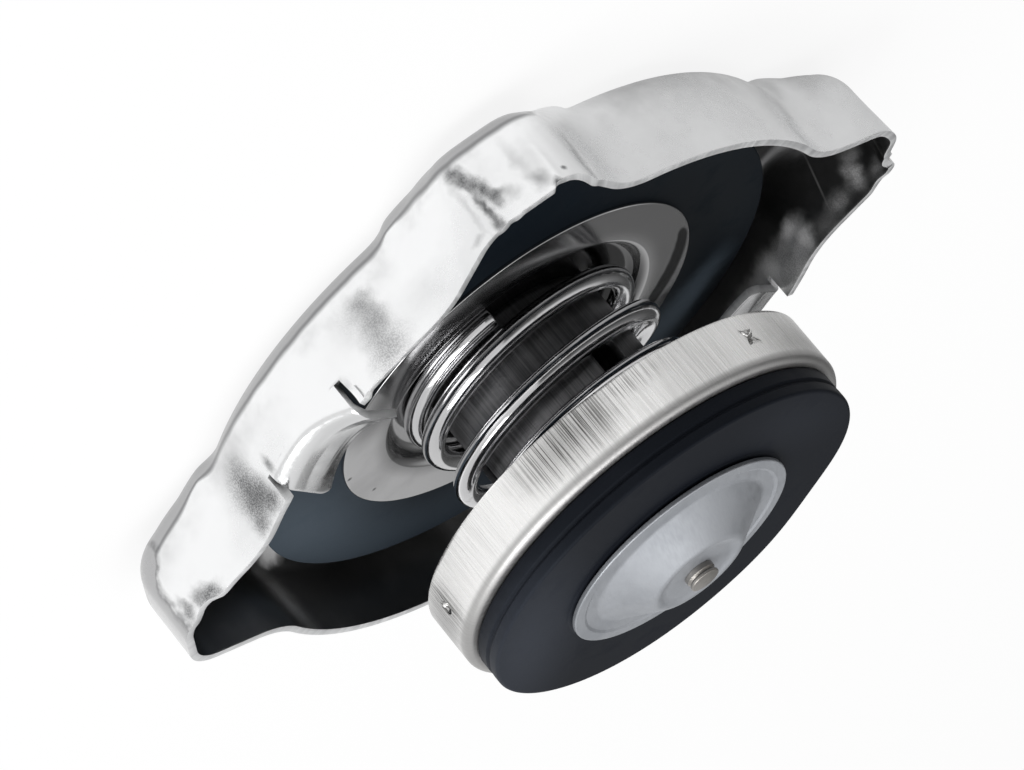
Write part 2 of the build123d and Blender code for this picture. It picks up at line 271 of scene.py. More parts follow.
def thicken(piece: bpy.types.Object, sheet: float, edge: float, inner: int = 0, rim: int = 0) -> None:
    """Gives a skin its sheet thickness inwards and breaks its cut edges.

    Args:
        piece: the skin.
        sheet: thickness in millimetres.
        edge: width of the broken edge.
        inner: how many finishes further the inside's own finish is.
        rim: how many finishes further the cut edge's own finish is.
    """
    wall = piece.modifiers.new("sheet", "SOLIDIFY")
    wall.thickness = sheet * MM
    wall.offset = -1.0
    wall.use_even_offset = True
    wall.material_offset = inner
    wall.material_offset_rim = rim
    bevel = piece.modifiers.new("cut_edge", "BEVEL")
    bevel.width = edge * MM
    bevel.segments = 2
    bevel.limit_method = "ANGLE"
    bevel.angle_limit = math.radians(50.0)
    bevel.harden_normals = False


# ---------------------------------------------------------------- finishes


class Nodes:
    """Nodes of one tree, added by short calls."""

    def __init__(self, tree: bpy.types.NodeTree) -> None:
        """Takes the tree that the nodes go into."""
        self.tree = tree

    def feed(self, target: Socket, value: Socket | float | Sequence[float]) -> None:
        """Links a socket, or writes a constant."""
        if isinstance(value, bpy.types.NodeSocket):
            self.tree.links.new(value, target)
        else:
            target.default_value = value

    def node(self, kind: str, inputs: dict[int | str, object] | None = None,
             **settings: object) -> bpy.types.Node:
        """Adds a node, sets its properties and feeds its inputs."""
        made = self.tree.nodes.new(kind)
        for name, value in settings.items():
            setattr(made, name, value)
        for key, value in (inputs or {}).items():
            self.feed(made.inputs[key], value)
        return made

    def parts(self, vector: Socket) -> bpy.types.bpy_prop_collection:
        """The three sockets of a vector."""
        return self.node("ShaderNodeSeparateXYZ", {0: vector}).outputs

    def joined(self, *values: Socket | float) -> Socket:
        """A vector of up to three numbers."""
        return self.node("ShaderNodeCombineXYZ", dict(enumerate(values))).outputs[0]

    def vector(self, operation: str, *inputs: Socket | Sequence[float]) -> Socket:
        """One sum of vectors, or the number that it gives."""
        made = self.node("ShaderNodeVectorMath", dict(enumerate(inputs)), operation=operation)
        return made.outputs["Value" if operation in ("LENGTH", "DOT_PRODUCT") else "Vector"]

    def place(self) -> Socket:
        """Object coordinates, in metres."""
        return self.node("ShaderNodeTexCoord").outputs["Object"]

    def mapped(self) -> Socket:
        """The piece's own UV map."""
        return self.node("ShaderNodeTexCoord").outputs["UV"]

    def math(self, operation: str, first: Socket | float, second: Socket | float = 0.0,
             clamp: bool = False) -> Socket:
        """One sum of two numbers."""
        return self.node("ShaderNodeMath", {0: first, 1: second}, operation=operation,
                         use_clamp=clamp).outputs[0]

    def times(self, *values: Socket | float) -> Socket:
        """Product of numbers."""
        return reduce(lambda first, second: self.math("MULTIPLY", first, second), values)

    def plus(self, first: Socket | float, second: Socket | float, clamp: bool = False) -> Socket:
        """Sum of two numbers."""
        return self.math("ADD", first, second, clamp)

    def stretched(self, vector: Socket, scale: Sequence[float],
                  turn: Sequence[float] = (0, 0, 0)) -> Socket:
        """A vector that is scaled and then turned."""
        return self.node("ShaderNodeMapping", {"Vector": vector, "Scale": scale,
                                               "Rotation": turn}).outputs[0]

    def noise(self, vector: Socket, scale: float, detail: float = 2.0, roughness: float = 0.5) -> Socket:
        """Cloud of values around a half."""
        return self.node("ShaderNodeTexNoise", {"Vector": vector, "Scale": scale, "Detail": detail,
                                                "Roughness": roughness}).outputs[0]

    def warped(self, vector: Socket, scale: float, reach: float) -> Socket:
        """A vector that a noise shifts by up to half a reach in millimetres."""
        cloud = self.node("ShaderNodeTexNoise", {"Vector": vector, "Scale": scale, "Detail": 3.0}).outputs[1]
        middle = self.vector("SUBTRACT", cloud, (0.5, 0.5, 0.5))
        return self.vector("ADD", vector, self.vector("MULTIPLY", middle, (reach * MM,) * 3))

    def ranged(self, value: Socket, low: float, high: float, to_low: float = 0.0,
               to_high: float = 1.0, soft: bool = True) -> Socket:
        """A value that is brought from one range to another, and held at its ends."""
        made = self.node("ShaderNodeMapRange", {"Value": value, "From Min": low, "From Max": high,
                                                "To Min": to_low, "To Max": to_high},
                         interpolation_type="SMOOTHSTEP" if soft else "LINEAR")
        return made.outputs[0]

    def ramp(self, value: Socket, stops: Sequence[tuple[float, float]]) -> Socket:
        """Greys over a value, from stops of (value, grey)."""
        made = self.node("ShaderNodeValToRGB", {0: value})
        while len(made.color_ramp.elements) < len(stops):
            made.color_ramp.elements.new(0.5)
        for element, (position, grey) in zip(made.color_ramp.elements, stops):
            element.position, element.color = position, (grey, grey, grey, 1.0)
        return made.outputs[0]

    def mix(self, factor: Socket | float, first: object, second: object) -> Socket:
        """Colour between two colours."""
        made = self.node("ShaderNodeMix", data_type="RGBA")
        self.feed(made.inputs[0], factor)
        for socket, value in ((made.inputs[6], first), (made.inputs[7], second)):
            self.feed(socket, value if isinstance(value, bpy.types.NodeSocket) else (*value, 1.0))
        return made.outputs[2]

    def bump(self, height: Socket, distance: float, strength: float = 1.0,
             under: Socket | None = None) -> Socket:
        """Normal of a height that is given as a share of a distance in millimetres."""
        made = self.node("ShaderNodeBump", {"Height": height, "Distance": distance * MM,
                                            "Strength": strength})
        if under is not None:
            self.feed(made.inputs["Normal"], under)
        return made.outputs[0]

    def polar(self, vector: Socket) -> tuple[Socket, Socket, Socket, Socket]:
        """Cosine and sine of the angle round the axis, the radius and the height."""
        x, y, height = self.parts(vector)
        radius = self.vector("LENGTH", self.joined(x, y))
        return self.math("DIVIDE", x, radius), self.math("DIVIDE", y, radius), radius, height

    def drawn_lines(self, vector: Socket, fineness: float, length: float, detail: float) -> Socket:
        """Noise that is drawn out along the axis.

        Args:
            vector: object coordinates.
            fineness: how fast it changes round the axis.
            length: how fast it changes along the axis, per metre.
            detail: octaves of the noise.

        Returns:
            The noise.
        """
        cosine, sine, _, height = self.polar(vector)
        spun = self.joined(self.times(cosine, fineness), self.times(sine, fineness),
                           self.times(height, length))
        return self.noise(spun, 1.0, detail, 0.6)

    def spot(self, vector: Socket, stain_or_painted_light: StainOrPaintedLight) -> Socket:
        """1 in the middle of a patch, falling to 0 at its half sizes.

        The coordinates are shifted to the middle, turned so that they run across, round and
        along the axis, leaned, and divided by the half sizes.
        """
        angle = math.radians(stain_or_painted_light.angle)
        reach = stain_or_painted_light.radius * MM
        middle = (reach * math.cos(angle), reach * math.sin(angle), stain_or_painted_light.height * MM)
        turned = self.stretched(self.vector("SUBTRACT", vector, middle), (1, 1, 1), (0, 0, -angle))
        leaned = self.stretched(turned, (1, 1, 1), (math.radians(stain_or_painted_light.lean), 0, 0))
        sizes = (1 / (stain_or_painted_light.across * MM), 1 / (stain_or_painted_light.around * MM), 1 / (stain_or_painted_light.along * MM))
        far = self.vector("LENGTH", self.vector("MULTIPLY", leaned, sizes))
        return self.ranged(far, 0.0, 1.0, 1.0, 0.0)

    def with_stains_and_painted_light(self, place: Socket, colour: Socket, stains_and_painted_light: Sequence[StainOrPaintedLight],
                tone: Colour) -> tuple[Socket, Socket | float]:
        """Lays real marks, painted shade and painted highlight on a colour, each broken up by a fine
        grain and most with a ragged outline.

        A crisp one is full over most of its reach.

        Args:
            place: object coordinates.
            colour: the clean colour.
            stains_and_painted_light: the real marks, painted shade and painted highlight, from the lowest to
                the topmost.
            tone: colour where one is full.

        Returns:
            The colour with them laid on, and how far they cover the surface.
        """
        grain = self.ranged(self.noise(place, 6500.0, 3.0, 0.7), 0.40, 0.60)
        warped = self.warped(place, 780.0, 1.3)
        cover: Socket | float = 0.0
        for stain_or_painted_light in stains_and_painted_light:
            mask = self.spot(warped if stain_or_painted_light.ragged else place, stain_or_painted_light)
            solid = self.times(self.math("MULTIPLY", mask, stain_or_painted_light.crisp, True), stain_or_painted_light.strength)
            broken = self.times(solid, self.ranged(grain, 0.0, 1.0, 1.0 - stain_or_painted_light.grain, 1.0))
            colour = self.mix(broken, colour, tone)
            cover = self.math("MAXIMUM", cover, broken)
        return colour, cover


class Graph(Nodes):
    """Nodes of one material, with its principled shader."""

    def __init__(self, name: str) -> None:
        """Starts a material of that name."""
        self.material = bpy.data.materials.new(name)
        self.material.use_nodes = True
        super().__init__(self.material.node_tree)
        self.shader = self.tree.nodes["Principled BSDF"]

    def finish(self, **values: object) -> bpy.types.Material:
        """Feeds the shader's inputs, whose names are written with underscores."""
        for name, value in values.items():
            if name == "Base_Color" and not isinstance(value, bpy.types.NodeSocket):
                value = (*value, 1.0)
            self.feed(self.shader.inputs[name.replace("_", " ")], value)
        return self.material


class Slot(Enum):
    """Material slots of the record."""

    SHELL = "shell_plating"
    RUBBER = "seal_rubber"
    POLISHED = "polished_steel"
    DRAWN = "drawn_steel"
    CUP = "cup_steel"
    ALLOY = "valve_alloy"


@dataclass(frozen=True)
class StainOrPaintedLight:
    """Soft dark or light patch on a surface: its middle, its half sizes, and how it looks.

    Some are real marks, and many are painted shade, painted reflection and painted highlight. Angles are in
    degrees and lengths in millimetres.
    """

    angle: float
    radius: float
    height: float
    around: float
    along: float
    strength: float
    grain: float
    across: float = 3.0
    lean: float = 0.0
    ragged: bool = True
    crisp: float = 1.0


@dataclass(frozen=True)
class Finish(ABC):
    """Look of a surface, from which a material is made."""

    name: str

    @abstractmethod
    def inputs(self, g: Graph, place: Socket) -> dict[str, object]:
        """Inputs of the shader, from nodes that start at the object coordinates."""

    def material(self) -> bpy.types.Material:
        """Builds the material."""
        g = Graph(self.name)
        return g.finish(**self.inputs(g, g.place()))


@dataclass(frozen=True)
class ShellPlating(Finish):
    """Bright plating on pressed sheet: clouded, smudged and faintly uneven.

    With a colour for the strip it also has painted shade: a grey strip along the crown's rounding,
    painted as the reflection of the floor's shadow, a patchy painted shade that fades up the wall
    above it, and a grey face on the lobe at +Y, both with a dark painted border. Lengths are in
    millimetres, and the limits of the strip lie on the second axis of the piece's map.
    """

    name: str = "shell_plating"
    bright: Colour = (0.93, 0.935, 0.94)
    clouded: Colour = (0.66, 0.665, 0.67)
    # Colour of real marks, of the painted shade in creases and folds and of the strip's dark painted border;
    # the inside sets it pale for its painted reflections.
    stain_or_painted_light: Colour = (0.12, 0.122, 0.125)
    roughness: float = 0.20
    stains_and_painted_light: tuple[StainOrPaintedLight, ...] = ()
    # Grey of the painted shade strip along the crown's rounding and of the painted shade face on the lobe at
    # +Y; the limits below place the strip and its dark painted border on the map.
    strip: Colour | None = None
    strip_start: tuple[float, float] = (-0.88, -1.08)
    border_in: tuple[float, float] = (-0.66, -0.98)
    border_out: tuple[float, float] = (-1.35, -1.05)
    border: float = 0.6
    # Painted shade that fades up the wall from the crown's rounding: where it fades, and its share.
    painted_shade_fade: tuple[float, float] = (2.6, -0.6)
    painted_shade: float = 0.42
    # Where the painted shade face on the lobe at +Y starts, how it rises and where it fades.
    face: float = 42.2
    face_rise: float = 1.9
    face_levels: tuple[float, float] = (6.4, 3.2)
    face_fade: tuple[float, float] = (-6.5, 2.0)
    matte: float = 0.0

    def with_shade_strip(self, g: Graph, place: Socket, colour: Socket) -> Socket:
        """Colour with a patchy painted shade that fades up the wall from the crown's rounding, and the
        painted shade strip with its dark painted border.
        """
        climb = g.parts(g.mapped())[1]
        # Patchy painted shade that fades up the wall from the crown's rounding.
        patchy = g.ranged(g.noise(place, 110.0, 4.0, 0.6), 0.4, 0.66)
        painted_shade = g.times(g.ranged(climb, *self.painted_shade_fade), patchy)
        colour = g.mix(g.times(painted_shade, self.painted_shade), colour, self.strip)
        # Painted shade strip, standing for the floor's shadow seen in the rounding, and its dark painted
        # border.
        climb = g.plus(climb, g.times(g.math("SUBTRACT", g.noise(place, 300.0), 0.5), 0.2))
        colour = g.mix(g.ranged(climb, *self.strip_start), colour, self.strip)
        border = g.times(g.ranged(climb, *self.border_in), g.ranged(climb, *self.border_out))
        return g.mix(g.times(border, self.border), colour, self.stain_or_painted_light)

    def with_face_shade(self, g: Graph, place: Socket, colour: Socket) -> Socket:
        """Colour with painted shade on the face of the lobe at +Y, and its dark painted border.

        The face starts where a point lies further out than a limit, which is lower near the
        crown, and it fades along x.
        """
        x, y, z = g.parts(g.warped(place, 900.0, 0.5))
        high, low = self.face_levels
        out = g.plus(y, g.ranged(z, high * MM, low * MM, 0.0, self.face_rise * MM))
        near = g.ranged(x, *(MM * limit for limit in self.face_fade))
        # Painted shade over the face of the lobe at +Y.
        dull = g.times(g.ranged(out, self.face * MM, (self.face + 0.2) * MM), near)
        colour = g.mix(dull, colour, self.strip)
        border = g.times(g.ranged(out, (self.face - 0.5) * MM, self.face * MM),
                         g.ranged(out, (self.face + 0.45) * MM, (self.face + 0.1) * MM))
        border = g.times(border, g.ranged(g.noise(place, 1500.0, 1.0, 0.5), 0.3, 0.7, 0.45, 1.0))
        return g.mix(g.times(border, near, self.border), colour, self.stain_or_painted_light)

    def inputs(self, g: Graph, place: Socket) -> dict[str, object]:
        """Feeds colour, metal, roughness and relief."""
        cloud = g.ranged(g.noise(place, 62.0, 4.0, 0.55), 0.44, 0.74)
        colour = g.mix(g.times(cloud, 0.5), self.bright, self.clouded)
        if self.strip is not None:
            colour = self.with_face_shade(g, place, self.with_shade_strip(g, place, colour))
        # Real marks, painted shade and painted reflection from the list.
        colour, cover = g.with_stains_and_painted_light(place, colour, self.stains_and_painted_light, self.stain_or_painted_light)
        fine = g.noise(place, 1900.0, 3.0, 0.6)
        rough = g.ranged(fine, 0.3, 0.7, self.roughness - 0.01, self.roughness + 0.04)
        # Where the list covers the surface, matte takes the metal away; the inside uses it so that its
        # painted reflections show pale.
        return dict(Base_Color=colour, Metallic=g.math("SUBTRACT", 1.0, g.times(cover, self.matte)),
                    Roughness=g.plus(rough, g.times(cloud, 0.12)),
                    Normal=g.bump(g.noise(place, 130.0), 0.05, 0.3))


@dataclass(frozen=True)
class Rubber(Finish):
    """Matte blue-black rubber with a fine grain, pale dust and a painted sheen."""

    name: str = "seal_rubber"
    base: Colour = (0.0025, 0.0045, 0.0075)
    dust: Colour = (0.006, 0.009, 0.013)
    # Pale blue of the painted sheen.
    painted_sheen_tone: Colour = (0.056, 0.072, 0.090)
    roughness: float = 0.58
    gloss: float = 0.095
    sheen: Colour = (0.72, 0.90, 1.0)
    painted_sheen_areas: tuple[StainOrPaintedLight, ...] = ()

    def inputs(self, g: Graph, place: Socket) -> dict[str, object]:
        """Feeds colour, metal, roughness and relief."""
        cloud = g.ranged(g.noise(place, 160.0, 4.0, 0.6), 0.45, 0.8)
        speck = g.ranged(g.noise(place, 2600.0, 2.0, 0.6), 0.66, 0.74)
        share = g.plus(g.times(cloud, 0.5), g.times(speck, 0.35), clamp=True)
        grain = g.noise(place, 4200.0, 3.0, 0.6)
        rough = g.ranged(cloud, 0.0, 1.0, self.roughness, self.roughness + 0.12)
        # Lays the painted sheen on the rubber.
        colour, _ = g.with_stains_and_painted_light(place, g.mix(share, self.base, self.dust), self.painted_sheen_areas, self.painted_sheen_tone)
        return dict(Base_Color=colour, Metallic=0.0, Roughness=rough,
                    Normal=g.bump(grain, 0.02, 0.35), Specular_IOR_Level=self.gloss,
                    Specular_Tint=(*self.sheen, 1.0))


@dataclass(frozen=True)
class PolishedSheet(Finish):
    """Polished thin sheet with turning marks, a few black specks and painted dark reflection."""

    name: str = "polished_sheet"
    base: Colour = (0.58, 0.58, 0.585)
    # Colour of the specks and of the painted dark reflection.
    dark: Colour = (0.012, 0.012, 0.013)
    dish: float = 16.2
    stains_and_painted_light: tuple[StainOrPaintedLight, ...] = ()

    def inputs(self, g: Graph, place: Socket) -> dict[str, object]:
        """Feeds colour, metal, roughness and relief."""
        cloud = g.noise(place, 120.0, 3.0, 0.5)
        colour = g.mix(g.ranged(cloud, 0.4, 0.7), self.base, tuple(0.86 * c for c in self.base))
        _, _, radius, _ = g.polar(place)
        # Painted dark reflection in the dish, weaker towards +Y.
        painted_dish_reflection = g.times(g.ranged(radius, self.dish * MM, (self.dish - 1.2) * MM),
                       g.ranged(g.parts(place)[1], 5.0 * MM, 12.0 * MM, 0.88, 0.15))
        colour, _ = g.with_stains_and_painted_light(place, g.mix(painted_dish_reflection, colour, self.dark), self.stains_and_painted_light, self.dark)
        rings = g.noise(g.joined(g.times(radius, 5200.0)), 1.0, 2.0, 0.6)
        return dict(Base_Color=colour, Metallic=1.0, Roughness=g.ranged(cloud, 0.3, 0.7, 0.10, 0.17),
                    Normal=g.bump(rings, 0.002, 0.25))


@dataclass(frozen=True)
class SpringSteel(Finish):
    """Bright drawn wire with faint lines along it."""

    name: str = "spring_steel"
    base: Colour = (0.80, 0.80, 0.81)
    spotted: Colour = (0.35, 0.34, 0.33)
    roughness: float = 0.09

    def inputs(self, g: Graph, place: Socket) -> dict[str, object]:
        """Feeds colour, metal, roughness and relief."""
        lines = g.noise(g.stretched(g.mapped(), (0.6, 55.0, 1.0)), 1.0, 3.0, 0.6)
        spots = g.ranged(g.noise(place, 420.0, 3.0, 0.6), 0.56, 0.78)
        colour = g.mix(g.times(spots, 0.5), self.base, self.spotted)
        return dict(Base_Color=colour, Metallic=1.0,
                    Roughness=g.ranged(lines, 0.3, 0.7, self.roughness - 0.03, self.roughness + 0.08),
                    Normal=g.bump(lines, 0.006, 0.25))


@dataclass(frozen=True)
class DrawnSteel(Finish):
    """Dull drawn steel with axial draw lines."""

    name: str = "drawn_steel"
    base: Colour = (0.17, 0.17, 0.175)
    light: Colour = (0.36, 0.36, 0.37)
    roughness: float = 0.42
    metal: float = 1.0
    stains_and_painted_light: tuple[StainOrPaintedLight, ...] = ()
    # Colour of the painted shade that the list lays on the cut edges.
    painted_shade: Colour = (0.03, 0.03, 0.03)

    def inputs(self, g: Graph, place: Socket) -> dict[str, object]:
        """Feeds colour, metal, roughness and relief."""
        streak = g.drawn_lines(place, 46.0, 60.0, 4.0)
        cloud = g.noise(place, 240.0, 3.0, 0.5)
        share = g.ranged(g.plus(g.times(streak, 0.6), g.times(cloud, 0.4)), 0.38, 0.66)
        colour = g.mix(share, self.base, self.light)
        if self.stains_and_painted_light:
            colour, _ = g.with_stains_and_painted_light(place, colour, self.stains_and_painted_light, self.painted_shade)
        return dict(Base_Color=colour, Metallic=self.metal,
                    Roughness=g.ranged(streak, 0.3, 0.7, self.roughness - 0.08, self.roughness + 0.1),
                    Normal=g.bump(streak, 0.02, 0.3))


@dataclass(frozen=True)
class SatinBand(Finish):
    """Satin plating with bands of axial brushing, painted shade, and a painted dark reflection on the
    rounding at the mouth.
    """

    name: str = "cup_steel"
    bright: Colour = (0.90, 0.895, 0.885)
    dull: Colour = (0.52, 0.515, 0.51)
    # Dark of the painted shade and of the brushing lines.
    worn: Colour = (0.085, 0.083, 0.08)
    roughness: float = 0.27
    # Height from which the rounding at the mouth carries a painted dark reflection.
    corner: float = 26.4
    brushed: tuple[StainOrPaintedLight, ...] = ()
    shaded: tuple[StainOrPaintedLight, ...] = ()

    def inputs(self, g: Graph, place: Socket) -> dict[str, object]:
        """Feeds colour, metal, roughness and relief."""
        fine = g.drawn_lines(place, 210.0, 130.0, 3.0)
        broad = g.drawn_lines(place, 26.0, 60.0, 3.0)
        patch = g.ranged(g.noise(place, 75.0), 0.46, 0.62)
        share = g.times(g.ranged(fine, 0.42, 0.66), g.plus(g.times(patch, 0.35), 0.1))
        share = g.plus(share, g.times(g.ranged(broad, 0.5, 0.75), 0.2), clamp=True)
        colour = g.mix(share, self.bright, self.dull)
        # Painted shade from the shaded list.
        colour, _ = g.with_stains_and_painted_light(place, colour, self.shaded, self.worn)
        _, cover = g.with_stains_and_painted_light(place, colour, self.brushed, self.worn)
        lines = g.ranged(g.drawn_lines(place, 175.0, 50.0, 3.0), 0.47, 0.56)
        colour = g.mix(g.times(cover, lines), colour, self.worn)
        # Painted dark reflection on the rounding at the mouth, which is also rougher there.
        corner = g.ranged(g.parts(place)[2], self.corner * MM, (self.corner + 0.7) * MM)
        colour = g.mix(g.times(corner, 0.75), colour, tuple(0.72 * c for c in self.dull))
        rough = g.ranged(fine, 0.3, 0.7, self.roughness - 0.05, self.roughness + 0.12)
        return dict(Base_Color=colour, Metallic=1.0, Roughness=g.plus(rough, g.times(corner, 0.2)),
                    Normal=g.bump(fine, 0.010, 0.22))


@dataclass(frozen=True)
class ValveAlloy(Finish):
    """Soft matte alloy with a bluish cast."""

    name: str = "valve_alloy"
    base: Colour = (0.385, 0.40, 0.425)
    dull: Colour = (0.33, 0.345, 0.37)
    roughness: float = 0.55

    def inputs(self, g: Graph, place: Socket) -> dict[str, object]:
        """Feeds colour, metal, roughness and relief."""
        cloud = g.ranged(g.noise(place, 130.0, 4.0, 0.6), 0.4, 0.7)
        grain = g.noise(place, 5200.0, 2.0, 0.6)
        scratch = g.noise(g.stretched(place, (900, 3800, 900), (0, 0, 0.6)), 1.0, 2.0, 0.6)
        normal = g.bump(grain, 0.006, 0.4)
        return dict(Base_Color=g.mix(cloud, self.base, self.dull), Metallic=0.85,
                    Roughness=g.ranged(scratch, 0.3, 0.7, self.roughness - 0.04, self.roughness + 0.08),
                    Normal=g.bump(scratch, 0.004, 0.3, normal))


def dress(piece: bpy.types.Object, finish: bpy.types.Material | tuple[bpy.types.Material, ...],
          body: str, slot: Slot, *nodes: str) -> bpy.types.Object:
    """Gives a piece its finish and its body, and hides the CAD nodes that it stands for."""
    piece.data.materials.clear()
    for each in (finish if isinstance(finish, tuple) else (finish,)):
        piece.data.materials.append(each)
    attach(piece, body)
    if nodes:
        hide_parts(*nodes)
    LOG.info("%s rides on %s", piece.name, body)
    return piece


# ---------------------------------------------------------------- cap shell


@dataclass(frozen=True)
class Dent:
    """Shallow hollow or crease in the skirt, in degrees and millimetres."""

    angle: float
    height: float
    wide: float
    tall: float
    depth: float
    lean: float = 0.0


@dataclass(frozen=True)
class Nick:
    """Stretch of the free edge, between two angles, that stands lower by a depth."""

    start: float
    end: float
    depth: float
    end_blend: float = 0.3
    start_blend: float = 0.3


SHELL_STAINS_AND_SHADE = (
    # Painted shade along the creases at the first lobe's left corner, which the dents also press in.
    StainOrPaintedLight(5.3, 42.5, 4.0, 1.3, 1.3, 1.0, 0.2),
    StainOrPaintedLight(4.8, 42.6, 5.1, 1.3, 1.5, 1.0, 0.2),
    StainOrPaintedLight(4.2, 42.8, 6.2, 1.0, 1.2, 0.95, 0.2),
    StainOrPaintedLight(4.75, 42.7, 8.6, 0.62, 3.9, 1.0, 0.05),
    StainOrPaintedLight(4.85, 42.7, 10.6, 0.9, 1.2, 0.8, 0.1),
    StainOrPaintedLight(3.6, 42.8, 7.3, 1.0, 1.5, 1.0, 0.15),
    StainOrPaintedLight(3.0, 42.9, 8.3, 1.1, 1.2, 0.9, 0.15),
    StainOrPaintedLight(3.3, 42.9, 9.2, 0.9, 1.0, 0.6, 0.15),
    StainOrPaintedLight(2.0, 42.9, 8.4, 1.4, 0.9, 0.55, 0.1),
    StainOrPaintedLight(1.2, 42.9, 9.2, 1.6, 1.0, 0.3, 0.1),
    StainOrPaintedLight(6.4, 42.3, 7.6, 0.5, 5.0, 0.25, 0.1),
    StainOrPaintedLight(8.0, 41.8, 10.4, 1.4, 0.7, 0.4, 0.2),
    # Soft painted shade beside the fold right of the first lobe's tip.
    StainOrPaintedLight(-1.7, 42.9, 7.2, 1.0, 4.4, 0.26, 0.05),
    StainOrPaintedLight(-2.6, 42.9, 9.5, 1.3, 1.6, 0.60, 0.05),
    StainOrPaintedLight(-3.3, 42.9, 7.6, 1.7, 3.4, 0.20, 0.05),
    StainOrPaintedLight(-6.0, 42.4, 9.7, 0.42, 0.42, 0.9, 0.0),
    StainOrPaintedLight(-4.0, 42.9, 10.7, 0.8, 0.8, 1.0, 0.2),
    # Painted shade along the crease at the root of the first lobe's right flank.
    StainOrPaintedLight(-9.8, 39.8, 9.0, 0.8, 5.6, 0.5, 0.0, lean=8.0),
    StainOrPaintedLight(65.2, 34.6, 6.2, 3.4, 3.6, 0.90, 0.5),
    StainOrPaintedLight(64.0, 34.6, 8.3, 3.3, 3.1, 1.0, 0.45),
    StainOrPaintedLight(66.4, 34.6, 8.3, 3.4, 3.2, 1.0, 0.5),
    StainOrPaintedLight(62.2, 34.6, 9.7, 2.0, 2.2, 0.95, 0.4),
    StainOrPaintedLight(68.0, 34.6, 10.0, 2.2, 1.6, 0.85, 0.5),
    StainOrPaintedLight(63.4, 34.6, 4.6, 3.6, 3.0, 0.35, 0.3),
    StainOrPaintedLight(67.6, 34.6, 6.6, 3.8, 3.4, 0.35, 0.5),
    StainOrPaintedLight(57.4, 34.6, 7.6, 0.9, 1.6, 0.8, 0.2),
    StainOrPaintedLight(80.0, 39.8, 10.4, 1.9, 1.5, 1.0, 0.3),
    StainOrPaintedLight(81.0, 40.6, 9.6, 1.2, 1.2, 0.7, 0.2),
    StainOrPaintedLight(83.0, 41.9, 9.9, 0.9, 2.2, 0.85, 0.2),
    StainOrPaintedLight(26.5, 34.6, 4.8, 2.4, 2.0, 0.70, 0.25),
    StainOrPaintedLight(26.3, 34.6, 6.7, 2.6, 2.2, 0.70, 0.3),
    StainOrPaintedLight(27.8, 34.6, 8.4, 2.8, 2.4, 0.60, 0.35),
    StainOrPaintedLight(28.2, 34.6, 10.3, 3.2, 2.0, 0.55, 0.5),
    StainOrPaintedLight(25.2, 34.6, 9.6, 2.6, 2.4, 0.30, 0.5),
    StainOrPaintedLight(29.6, 34.6, 5.4, 3.2, 3.2, 0.25, 0.3),
    StainOrPaintedLight(18.0, 35.0, 8.6, 5.0, 2.8, 0.14, 0.3),
    # Painted shade along a soft line on the wall at about -70 degrees.
    StainOrPaintedLight(-72.6, 35.1, 2.6, 1.6, 2.4, 0.22, 0.0),
    StainOrPaintedLight(-69.6, 34.7, 5.8, 1.6, 3.0, 0.22, 0.0, lean=12.0),
    StainOrPaintedLight(-65.4, 34.6, 9.0, 1.9, 3.2, 0.22, 0.0, lean=18.0),
    # Painted shade in the folds of the ear tip at -93 degrees.
    StainOrPaintedLight(-93.0, 42.0, 10.4, 2.2, 1.8, 0.85, 0.3),
    # Painted shade: the dark end of the near tongue's bead, and the near and far tongues' ledges darkened.
    StainOrPaintedLight(59.0, 28.6, 10.3, 0.9, 2.0, 0.85, 0.3, across=1.4),
    StainOrPaintedLight(50.0, 29.2, 10.2, 15.0, 3.0, 0.58, 0.05, across=3.2),
    StainOrPaintedLight(-122.0, 30.0, 10.4, 6.0, 3.0, 0.74, 0.0, across=4.4, ragged=False),
)
CUT_EDGE_SHADE = (
    # Painted shade on the cut faces beside the near tongue's two slits.
    StainOrPaintedLight(58.9, 34.2, 9.4, 1.1, 2.2, 0.95, 0.1, across=1.4),
    StainOrPaintedLight(37.6, 34.2, 8.6, 1.3, 1.6, 0.9, 0.1, across=1.4),
)
